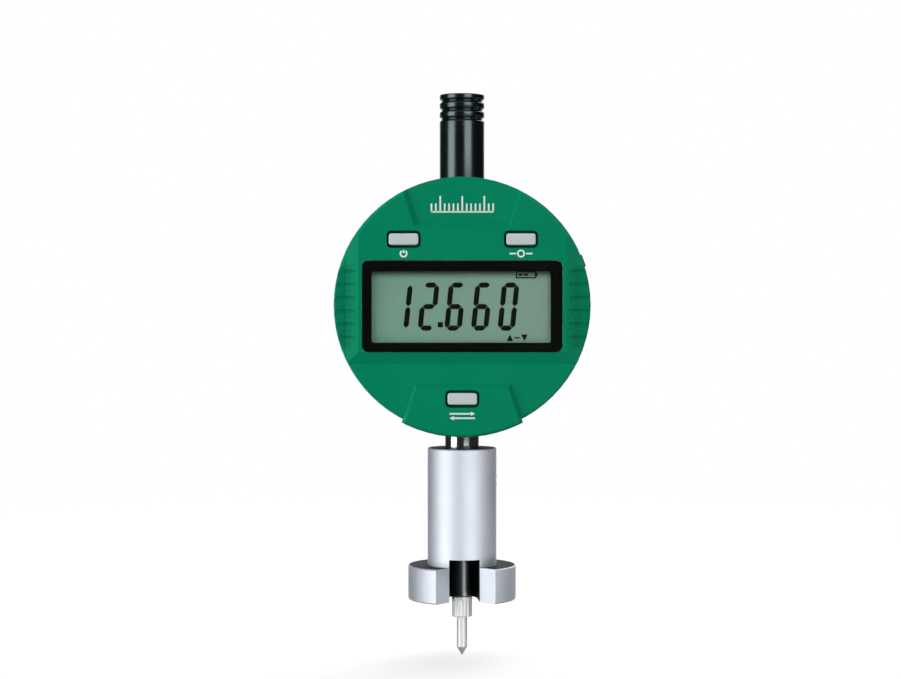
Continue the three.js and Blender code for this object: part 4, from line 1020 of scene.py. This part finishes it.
@dataclass
class Display:
    """The window, and the number and marks on the display glass behind it."""

    window_corner: float = 1.4
    window_edge: float = 0.25
    reading: str = "12.660"
    digit_height: float = 10.98
    digit_width: float = 3.99
    stroke: float = 1.18
    stroke_gap: float = 0.1
    slant: float = math.tan(math.radians(5.9))
    pitch: float = 6.06
    last_digit_x: float = 10.52
    digit_centre_z: float = 80.99
    point_size: float = 1.2
    point_corner: float = 0.1
    point_lift: float = 0.75
    point_from_cell: float = 3.25
    mark_x: float = 14.5
    upper_mark_above: float = 7.25
    lower_mark_below: float = 7.1
    lower_mark_aside: float = -2.0
    mark_line: float = 0.3
    battery_length: float = 4.6
    battery_height: float = 1.7
    battery_cells: int = 3
    arrow_width: float = 1.5
    arrow_height: float = 1.5
    arrow_apart: float = 1.65
    arrow_line_gap: float = 0.225

    def build(self) -> None:
        """Builds the window and the display's strokes and marks."""
        low, high = node_box("window_lens")
        centre = (low + high) / 2
        outline = rectangle(high[0] - low[0], high[2] - low[2], self.window_corner)
        place = Place((centre[0], 0, centre[2]), Direction.FRONT.value)
        pane = plate(outline, place, -high[1], -low[1], self.window_edge)
        window = add_piece("window_pane", pane, "indicator", CLEAR_ACRYLIC, ["window_lens"])
        window.visible_shadow = False
        outlines = self.digits() + self.battery_mark() + self.travel_mark()
        glass = Place((0, node_box("lcd_panel")[0][1], 0), Direction.FRONT.value)
        shapes = [plate(outline, glass, 0, INK_THICKNESS) for outline in outlines]
        add_piece("display_reading", Surface.joined(shapes), "indicator", DISPLAY_SEGMENT)

    def stroke_outline(self, stroke: Stroke, centre_x: float) -> Array:
        """A stroke as a slanted six-sided bar between its ends.

        The bar runs along its ends' line, pointed by half its width at both ends, and every point
        then moves sideways by its height times the slant.

        Args:
            stroke: which of the seven strokes.
            centre_x: the digit's middle.

        Returns:
            The anticlockwise outline.
        """
        steps = ((self.digit_width - self.stroke) / 2, (self.digit_height - self.stroke) / 4)
        start, end = np.array(stroke.value) * steps
        along = (end - start) / np.linalg.norm(end - start)
        aside = np.array([-along[1], along[0]])
        half = self.stroke / 2
        a = start + along * self.stroke_gap / 2
        b = end - along * self.stroke_gap / 2
        outline = np.array([
            a, a + (along - aside) * half, b - (along + aside) * half,
            b, b - (along - aside) * half, a + (along + aside) * half,
        ])
        outline[:, 0] += outline[:, 1] * self.slant
        return outline + (centre_x, self.digit_centre_z)

    def digits(self) -> list[Array]:
        """The reading's strokes and its point.

        Returns:
            Their outlines.
        """
        digits = self.reading.replace(".", "")
        first_x = self.last_digit_x - (len(digits) - 1) * self.pitch
        outlines = [
            self.stroke_outline(stroke, first_x + index * self.pitch)
            for index, digit in enumerate(digits)
            for stroke in DIGIT_STROKES[digit]
        ]
        before_point = self.reading.index(".") - 1
        point_z = self.digit_centre_z - (self.digit_height - self.point_size) / 2 + self.point_lift
        point_x = first_x + before_point * self.pitch + self.point_from_cell
        point_x -= self.slant * self.digit_height / 2
        size = self.point_size
        return [*outlines, rectangle(size, size, self.point_corner, (point_x, point_z))]

    def battery_mark(self) -> list[Array]:
        """A small battery at the top right: four sides, its end and the cells that are left.

        Returns:
            The outlines.
        """
        middle = np.array([self.mark_x, self.digit_centre_z + self.upper_mark_above])
        length, height, line = self.battery_length, self.battery_height, self.mark_line
        side, rise = (length - line) / 2, (height - line) / 2
        upright = height - 2 * line
        cell = (length - 3 * line) / self.battery_cells
        first = line * 1.5 + (cell - length) / 2
        bars = [
            (length, line, 0.0, rise), (length, line, 0.0, -rise),
            (line, upright, -side, 0.0), (line, upright, side, 0.0), (line, height / 2, side + line, 0.0),
        ]
        bars += [
            (cell - line, upright - 2 * line, first + cell * index, 0.0)
            for index in range(self.battery_cells - 1)
        ]
        return [rectangle(w, h, centre=tuple(middle + (x, z))) for w, h, x, z in bars]

    def travel_mark(self) -> list[Array]:
        """Two small arrowheads and a line at the bottom right, for the direction of travel.

        Returns:
            The outlines.
        """
        x = self.mark_x + self.lower_mark_aside
        middle = np.array([x, self.digit_centre_z - self.lower_mark_below])
        half, rise = self.arrow_width / 2, self.arrow_height / 2
        arrow = np.array([(-half, -rise), (half, -rise), (0.0, rise)])
        apart = np.array([self.arrow_apart, 0.0])
        width = 2 * (self.arrow_apart - half - self.arrow_line_gap)
        line = rectangle(width, self.mark_line, centre=tuple(middle))
        return [middle - apart + arrow, middle + apart - arrow, line]


@dataclass
class Keys:
    """Three push keys, and the signs printed on the case."""

    key_corner: float = 0.6
    key_edge: float = 0.3
    key_crown: float = 0.06
    key_width: float = 6.7
    key_height: float = 2.65
    flange_front: float = 9.85
    flange_thickness: float = 0.7
    panel_front: float = 12.5
    field_front: float = 11.5
    power_at: FlatPoint = (-13.3, 11.7)
    zero_at: FlatPoint = (13.3, 11.7)
    swap_at: FlatPoint = (0.0, -25.1)
    graduation_at: FlatPoint = (0.0, 23.0)
    sign_radius: float = 0.72
    line: float = 0.36
    arc_points: int = 24
    power_gap: float = math.radians(70)
    power_bar: float = 0.756
    power_bar_lift: float = 0.4464
    zero_bar: float = 1.5
    arrow_half_length: float = 2.9
    arrow_head: float = 0.95
    arrows_apart: float = 1.0
    graduation_reach: int = 7
    long_every: int = 5
    long_line: float = 3.6
    short_line: float = 1.9
    graduation_foot: float = 1.8

    def build(self) -> None:
        """Builds the keys and the printed signs."""
        for node in ("button_left", "button_right", "button_lower"):
            self.build_key(node)
        self.print_on_case("key_signs", self.panel_front, (
            (self.power_sign(), self.power_at), (self.zero_sign(), self.zero_at),
            (self.swap_sign(), self.swap_at)))
        self.print_on_case(
            "graduation_print", self.field_front, ((self.graduation(), self.graduation_at),))

    def print_on_case(
        self, name: str, front: float, signs: Iterable[tuple[list[Array], FlatPoint]]
    ) -> None:
        """Prints signs on one of the case's flat faces, as one piece.

        Args:
            name: the piece's name.
            front: how far in front of the spindle's axis the face is.
            signs: each sign's outlines with its place, from the case's middle.
        """
        face = Place((0, -front, case_middle_z()), Direction.FRONT.value)
        ink = Surface.joined([
            plate(outline + at, face, -INK_THICKNESS, INK_THICKNESS)
            for outlines, at in signs
            for outline in outlines
        ])
        add_piece(name, ink, "indicator", WHITE_INK)

    def build_key(self, node: str) -> None:
        """A key: a grey cap with a rounded, slightly crowned front on a green flange behind the wall.

        Args:
            node: the CAD key that it stands for.
        """
        low, high = node_box(node)
        middle = (low + high) / 2
        place = Place((middle[0], 0, middle[2]), Direction.FRONT.value)
        rim = -low[1] - self.key_crown
        cap_outline = rectangle(self.key_width, self.key_height, self.key_corner)
        cap = plate(cap_outline, place, -high[1], rim, self.key_edge, self.key_crown)
        outline = rectangle(high[0] - low[0], high[2] - low[2], self.key_corner)
        flange = plate(outline, place, self.flange_front - self.flange_thickness, self.flange_front)
        key = add_piece(node + "_cap", Surface.joined([cap, flange]), node, KEY_ABS, [node])
        middles = read_rows(key.data.polygons, "center", 3) / MM
        dress_faces(key, middles[:, 1] > -(self.flange_front + INK_THICKNESS), GREEN_ABS)

    def arc_bar(self, start: float, turn: float) -> Array:
        """A curved line of the print's width, with the signs' radius.

        Args:
            start: its first angle in radians.
            turn: how far it goes round, in radians.

        Returns:
            The anticlockwise outline.
        """
        angles = np.linspace(start, start + turn, self.arc_points)
        spokes = np.stack([np.cos(angles), np.sin(angles)], axis=1)
        outer = spokes * (self.sign_radius + self.line / 2)
        inner = spokes[::-1] * (self.sign_radius - self.line / 2)
        return np.concatenate([outer, inner])

    def power_sign(self) -> list[Array]:
        """The outlines of an open ring with a bar, the usual sign for on and off."""
        ring = self.arc_bar((math.pi + self.power_gap) / 2, FULL_TURN - self.power_gap)
        return [ring, rectangle(self.line, self.power_bar, centre=(0, self.power_bar_lift))]

    def zero_sign(self) -> list[Array]:
        """A plain zero between two short bars, for setting the reading to zero.

        Returns:
            The outlines.
        """
        halves = [self.arc_bar(start, math.pi) for start in (0.0, math.pi)]
        away = self.sign_radius + self.line + self.zero_bar / 2
        return halves + [
            rectangle(self.zero_bar, self.line, centre=(x, 0)) for x in (-away, away)]

    def swap_sign(self) -> list[Array]:
        """Two arrows that point opposite ways, for changing over the units.

        Returns:
            The outlines.
        """
        half, head, apart = self.arrow_half_length, self.arrow_head, self.arrows_apart
        shaft = rectangle(half * 2 - head, self.line, centre=(-head / 2, apart / 2))
        neck = half - head
        point = np.array([(neck, (apart - head) / 2), (half, apart / 2), (neck, (apart + head) / 2)])
        return [side * shape for side in (1, -1) for shape in (shaft, point)]

    def graduation(self) -> list[Array]:
        """A short row of graduation lines a millimetre apart, every fifth one longer.

        Returns:
            The outlines.
        """
        reach, foot = self.graduation_reach, -self.graduation_foot
        outlines = []
        for index in range(-reach, reach + 1):
            height = self.short_line if index % self.long_every else self.long_line
            outlines.append(rectangle(self.line, height, centre=(index, foot + height / 2)))
        return [*outlines, rectangle(2 * reach + self.line, self.line, centre=(0, foot))]


@dataclass
class DustCap:
    """The black cap over the spindle's upper end, with three round grooves near its top."""

    edge: float = 0.3
    dome: float = 0.15
    crown: float = 1.0
    rim_chamfer: float = 0.25
    thread_radius: float = 3.85
    thread_depth: float = 4.1
    bore: float = 2.9
    roof: float = 1.7
    grooves: int = 3
    first_groove: float = 1.7
    groove_pitch: float = 2.1
    groove_half: float = 0.62
    groove_depth: float = 0.5
    groove_steps: int = 16

    def build(self) -> None:
        """Builds the cap as one turned surface, inside and out.

        A groove's depth at a height is half its full depth times one plus the cosine of the
        distance from its middle, which is half a turn at its edge.
        """
        radius, bottom, top = turned_size("dust_cap")
        chamfer = self.rim_chamfer
        shares = np.linspace(-1, 1, self.groove_steps + 1)
        depth = self.groove_depth * (1 + np.cos(math.pi * shares)) / 2
        outside = [np.array([(radius - chamfer, bottom), (radius, bottom + chamfer)])]
        for index in reversed(range(self.grooves)):
            middle = top - self.first_groove - index * self.groove_pitch
            outside.append(np.stack([radius - depth, middle + shares * self.groove_half], axis=1))
        crown = round_corners(
            [(radius, top - self.crown), (radius, top - self.dome), (0, top)], [0, self.edge, 0])
        roof, thread_top = top - self.roof, bottom + self.thread_depth
        inside = np.array([
            (0, roof), (self.bore, roof), (self.bore, thread_top), (self.thread_radius, thread_top),
            (self.thread_radius, bottom), (radius - chamfer, bottom),
        ])
        add_piece(
            "cap", lathe(np.concatenate([*outside, crown, inside])), "dust_cap", BLACK_ANODISED,
            ["dust_cap"])


@dataclass
class Stem:
    """The polished stem below the case."""

    radius: float = 4.0
    bore: float = 3.2
    edge: float = 0.2
    flange_thickness: float = 2.5
    seat_gap: float = 0.05

    def build(self) -> None:
        """Builds the stem with its inner flange as one turned tube."""
        flange, bottom, top = turned_size("stem_sleeve")
        edge = self.edge
        flange_top = node_box("inner_frame")[0][2] - self.seat_gap
        flange_bottom = flange_top - self.flange_thickness
        profile = round_corners([
            (self.bore, bottom), (self.radius, bottom), (self.radius, flange_bottom),
            (flange, flange_bottom), (flange, flange_top), (self.radius, flange_top),
            (self.radius, top), (self.bore, top), (self.bore, bottom),
        ], [0, edge, 0, edge, edge, 0, 0, 0, 0])
        add_piece("stem", lathe(profile), "indicator", POLISHED_STEEL, ["stem_sleeve"])


@dataclass
class SetScrew(Screw):
    """The headless screw in the base, with a rounded end."""

    socket: float = 1.15
    socket_depth: float = 2.0
    cone_share: float = 0.4
    edge: float = 0.12
    turn: float = math.radians(4.3)

    def build(self) -> None:
        """Builds the screw, turned with the base."""
        cosine, sine = math.cos(self.turn), math.sin(self.turn)
        low, high = node_box("grub_screw")
        axes = ((-sine, cosine, 0.0), ALONG_Z, (cosine, sine, 0.0))
        place = Place((0, 0, (low[2] + high[2]) / 2), axes)
        inner, outer = place.box_of("grub_screw")
        _, radius, _ = (outer - inner) / 2
        top, bottom, edge = outer[2], inner[2], self.edge
        profile = round_corners([
            (0, bottom), (radius, bottom), (radius, top), (self.socket + edge, top),
        ], [0, edge, edge, 0])
        add_piece("set_screw", self.surface(profile, place), "base", NICKEL_PLATE, ["grub_screw"])


@dataclass
class Foot:
    """The steel base: barrel and notched foot in one piece."""

    barrel: float = 8.0
    foot: float = 12.5
    slot: float = 3.5
    bore: float = 4.05
    band_inside: float = 0.6
    band_outside: float = 0.1
    rim: float = 0.5
    level_limit: float = 0.5
    upward_limit: float = 0.9

    def build(self) -> None:
        """Builds the base, ground outside, with painted shade inside and on top."""
        bands = [
            RoundBand((0, 0, 0), ALONG_Z, radius - self.band_inside, radius + self.band_outside)
            for radius in (self.foot, self.barrel, self.bore, self.slot)
        ]
        body = add_piece("base_body", merged_copy("base", bands), "base", GROUND_STEEL, ["base"])
        # painted shade: the slot, the bores and the upward faces are darkened where shade falls
        dress_faces(body, self.painted_shade_faces(body.data), PAINTED_SHADE_STEEL)

    def painted_shade_faces(self, mesh: Mesh) -> Array:
        """Which faces line the slot and the bores, or face up: those that get the painted shade.

        The first have a mean distance from the axis under the barrel's radius and don't face up or
        down.

        Args:
            mesh: the base's mesh.

        Returns:
            True or False for each face.
        """
        rows = MeshRows(mesh)
        upwards = rows.facing[:, 2]
        distance = rows.face_means(np.linalg.norm(rows.corners[:, :2], axis=1))
        inside = (distance < self.barrel - self.rim) & (np.abs(upwards) < self.level_limit)
        return inside | (upwards > self.upward_limit)


@dataclass
class Needle:
    """The measuring spindle and its needle contact."""

    spindle_chamfer: float = 0.4
    spindle_edge: float = 0.15
    hole_gap: float = 0.05
    hole_depth: float = 5.5
    hole_edge: float = 0.1
    cone: float = 2.0
    tip: float = 0.05
    needle: float = 1.2
    needle_edge: float = 0.15
    collar_bottom: float = 9.1
    collar_top: float = 13.8
    collar_chamfer: float = 0.2
    collar_levels: int = 24
    neck_edge: float = 0.1
    stud: float = 1.25
    stud_edge: float = 0.2
    flutes: int = 12
    flute_points: int = 16
    flute_power: int = 4
    flute_depth: float = 0.16
    flute_fade: float = 0.7
    flute_at_end: float = 0.35
    fluted_wall: float = 0.3

    def build(self) -> None:
        """Builds the spindle and the contact."""
        self.build_spindle()
        self.build_contact()

    def build_spindle(self) -> None:
        """The spindle: a plain shaft with a chamfered top and a hole for the contact's stud."""
        radius, bottom, top = turned_size("spindle")
        hole = self.stud + self.hole_gap
        hole_top = bottom + self.hole_depth
        profile = round_corners([
            (0, hole_top), (hole, hole_top), (hole, bottom), (radius, bottom), (radius, top), (0, top),
        ], [0, 0, self.hole_edge, self.spindle_edge, self.spindle_chamfer, 0])
        # painted shade: the spindle's darker colour stands in for the shade in the foot's slot
        add_piece("measuring_spindle", lathe(profile), "spindle", SHADED_SPINDLE_STEEL, ["spindle"])

    def build_contact(self) -> None:
        """The contact: cone, needle, fluted collar and stud.

        The collar's radius at an angle is its full radius less the flutes' depth times the fourth
        power of the cosine of half the number of flutes times the angle, faded out at both ends.
        """
        radius, _, stud_top = turned_size("contact_point")
        top, bottom, chamfer = self.collar_top, self.collar_bottom, self.collar_chamfer
        profile = round_corners([
            (0, 0), (self.tip, 0), (self.needle, self.cone), (self.needle, bottom), (radius, bottom),
            (radius, top), (self.stud, top), (self.stud, stud_top), (0, stud_top),
        ], [
            0, 0, self.needle_edge, self.neck_edge, chamfer, chamfer, 0, self.stud_edge, 0,
        ])
        levels = np.linspace(bottom + chamfer, top - chamfer, self.collar_levels)[1:-1]
        sides = np.stack([np.full_like(levels, radius), levels], axis=1)
        cut = int(np.argmax(profile[:, 1] > (bottom + top) / 2))
        profile = np.concatenate([profile[:cut], sides, profile[cut:]])
        radii, heights = profile.T
        segments = self.flutes * self.flute_points
        angles = np.arange(segments) * (FULL_TURN / segments)
        wave = np.cos(angles * self.flutes / 2) ** self.flute_power
        from_end = np.minimum(heights - bottom, top - self.flute_fade - heights)
        strength = np.clip(from_end / self.flute_fade + self.flute_at_end, 0, 1)
        strength = strength * (radii > radius - self.fluted_wall)
        reach = radii[:, None] - self.flute_depth * strength[:, None] * wave[None]
        surface = skin(reach[:, :, None] * circle(segments)[None], heights, Place())
        add_piece("needle_contact", surface, "spindle", NEEDLE_STEEL, ["contact_point"])


def dress_remaining_nodes() -> None:
    """Gives every CAD node that stays the finish of its slot in the record."""
    for subpart in frame["record"]["subparts"]:
        material = SLOT_FINISHES[subpart["material_slot"]].make()
        for slot in frame["nodes"][subpart["node"]].material_slots:
            slot.material = material


# Studio

@dataclass(frozen=True)
class Lamp:
    """A soft rectangular lamp that looks at the case.

    The azimuth is in degrees to the right of the camera, seen from above, and the elevation in
    degrees above the case's middle; the distance and the size are in metres, the power in watts.
    """

    name: str
    azimuth: float
    elevation: float
    size: FlatPoint
    power: float
    distance: float = 0.9
    matt: bool = True
    shiny: bool = True

    def build(self, target: Vector) -> None:
        """Makes the lamp.

        Args:
            target: the point that it looks at.
        """
        data = bpy.data.lights.new(self.name, "AREA")
        data.shape = "RECTANGLE"
        data.size, data.size_y = self.size
        data.energy = self.power
        lamp = bpy.data.objects.new(self.name, data)
        bpy.context.scene.collection.objects.link(lamp)
        turn, rise = math.radians(self.azimuth), math.radians(self.elevation)
        out = Vector((math.sin(turn) * math.cos(rise), -math.cos(turn) * math.cos(rise), math.sin(rise)))
        lamp.location = target + out * self.distance
        lamp.rotation_euler = out.to_track_quat("Z", "Y").to_euler()
        lamp.visible_diffuse = self.matt
        lamp.visible_glossy = self.shiny


LAMPS = (
    Lamp("key", -57.0, 3.0, (0.57, 0.8), 6.0),
    Lamp("fill", 31.0, 19.5, (0.54, 0.48), 3.2),
    Lamp("low", 31.0, -20.0, (0.54, 0.32), 2.4, matt=False),
    Lamp("low_right", 98.0, -30.0, (0.5, 0.3), 0.7, matt=False),
    Lamp("side", -100.0, 5.0, (0.5, 0.5), 5.0, shiny=False),
    Lamp("rear", 150.0, 40.0, (0.5, 0.5), 2.6),
    Lamp("top", 165.0, 65.0, (0.9, 0.9), 5.0, distance=1.0),
    Lamp("ceiling", -20.0, 80.0, (0.9, 0.9), 2.5, distance=1.0, matt=False),
)


@dataclass
class Studio:
    """Floor, lamps, surroundings and camera."""

    camera_distance: float = 0.484
    axis_from_image_middle_px: float = 11.5
    optical_axis_above_middle_px: float = 34.3
    mm_per_px: float = 0.2325
    sensor_mm: float = 36.0
    nearest: float = 0.01
    floor_radius: float = 0.5
    floor_gap: float = 0.0003
    floor_colour: str = "#FAFAFA"
    floor_roughness: float = 0.9
    floor_fade: FlatPoint = (0.1, 0.42)
    shadow_share: float = 0.4
    room_level: float = 0.02
    sweep_behind: FlatPoint = (0.72, 1.0)
    ambient: FlatPoint = (0.05, 0.42)

    def build(self) -> None:
        """Builds the whole studio."""
        target = Vector((0, 0, case_middle_z() * MM))
        self.build_camera(target)
        self.build_floor()
        self.build_world()
        for lamp in LAMPS:
            lamp.build(target)

    def build_camera(self, target: Vector) -> None:
        """The camera: level with the case's middle, its frame shifted to the photograph's.

        Args:
            target: the case's middle.
        """
        data = bpy.data.cameras.new("camera")
        width_mm = CAMERA_IMAGE_WIDTH * self.mm_per_px
        data.sensor_width = self.sensor_mm
        data.lens = self.sensor_mm * self.camera_distance / (width_mm * MM)
        data.shift_y = -self.optical_axis_above_middle_px / CAMERA_IMAGE_WIDTH
        data.clip_start = self.nearest
        camera = bpy.data.objects.new("camera", data)
        bpy.context.scene.collection.objects.link(camera)
        aside = -self.axis_from_image_middle_px * self.mm_per_px * MM
        camera.location = (aside, -self.camera_distance, target.z)
        camera.rotation_euler = (math.pi / 2, 0, 0)
        bpy.context.scene.camera = camera

    def build_floor(self) -> None:
        """A plain white floor that the needle's tip stands on; it keeps a share of the shadow."""
        rim = circle() * self.floor_radius
        corners = np.column_stack([rim, np.full(len(rim), -self.floor_gap)])
        mesh = bpy.data.meshes.new("floor")
        mesh.from_pydata(corners.tolist(), [], [tuple(range(len(rim)))])
        floor = bpy.data.objects.new("floor", mesh)
        bpy.context.scene.collection.objects.link(floor)
        material = bpy.data.materials.new("white_paper_sweep")
        material.use_nodes = True
        tree = material.node_tree
        shader = tree.nodes["Principled BSDF"]
        for name, value in (
            ("Base Color", linear(self.floor_colour)), ("Roughness", self.floor_roughness),
            ("Specular IOR Level", 0.0),
        ):
            shader.inputs[name].default_value = value
        where = add_node(tree, "ShaderNodeTexCoord")["Object"]
        distance = add_node(tree, "ShaderNodeVectorMath", {"operation": "LENGTH"}, (where,))
        fade = add_node(tree, "ShaderNodeMapRange", SOFT_STEP, (
            distance["Value"], *self.floor_fade, 1 - self.shadow_share, 1.0))
        path = add_node(tree, "ShaderNodeLightPath")
        seen = add_node(tree, "ShaderNodeMath", MAXIMUM, (
            path["Is Camera Ray"], self.seen_in_pieces(tree, path)))
        share = add_node(tree, "ShaderNodeMath", MULTIPLY, (fade["Result"], seen[0]))
        white = add_node(tree, "ShaderNodeEmission", inputs={"Color": linear("#FFFFFF"), "Strength": 1.0})
        mixed = add_node(tree, "ShaderNodeMixShader", inputs=(
            share[0], shader.outputs["BSDF"], white["Emission"]))
        tree.links.new(mixed[0], tree.nodes["Material Output"].inputs["Surface"])
        mesh.materials.append(material)
        floor.visible_glossy = False
        floor.visible_diffuse = False
        floor.visible_shadow = False

    @staticmethod
    def seen_in_pieces(tree: Tree, path: Collection) -> Socket:
        """1 for rays off glossy surfaces and through clear ones, else 0."""
        rays = (path["Is Glossy Ray"], path["Is Transmission Ray"])
        return add_node(tree, "ShaderNodeMath", MAXIMUM, rays)[0]

    def build_world(self) -> None:
        """Plain light all round; cameras see white, and so do reflections from behind the gauge."""
        world = bpy.data.worlds.new("studio")
        world.use_nodes = True
        bpy.context.scene.world = world
        tree = world.node_tree
        tree.nodes.clear()
        path = add_node(tree, "ShaderNodeLightPath")
        where = add_node(tree, "ShaderNodeTexCoord")["Generated"]
        sides = add_node(tree, "ShaderNodeSeparateXYZ", inputs=(where,))
        sweep = add_node(tree, "ShaderNodeMapRange", SOFT_STEP, (
            sides["Y"], *self.sweep_behind, self.room_level, 1.0))["Result"]
        level = add_node(tree, "ShaderNodeMapRange", inputs=(
            sides["Z"], -1.0, 1.0, *self.ambient))["Result"]
        for share, brightness in (
            (self.seen_in_pieces(tree, path), sweep), (path["Is Camera Ray"], 1.0),
        ):
            level = add_node(tree, "ShaderNodeMix", {"data_type": "FLOAT"}, {
                0: share, 2: level, 3: brightness,
            })[0]
        background = add_node(tree, "ShaderNodeBackground", inputs={
            "Color": linear("#FFFFFF"), "Strength": level,
        })
        add_node(tree, "ShaderNodeOutputWorld", inputs={"Surface": background["Background"]})


def main() -> None:
    """Builds the gauge's pieces in order, then the studio."""
    logging.basicConfig(level=logging.INFO, format="%(message)s")
    dress_remaining_nodes()
    for part in (
        Housing(), Display(), Keys(), DustCap(), Stem(), Foot(), SetScrew(), Needle(), Studio(),
    ):
        part.build()
    bpy.context.scene.view_settings.view_transform = "Standard"


if __name__ == "__main__":
    main()
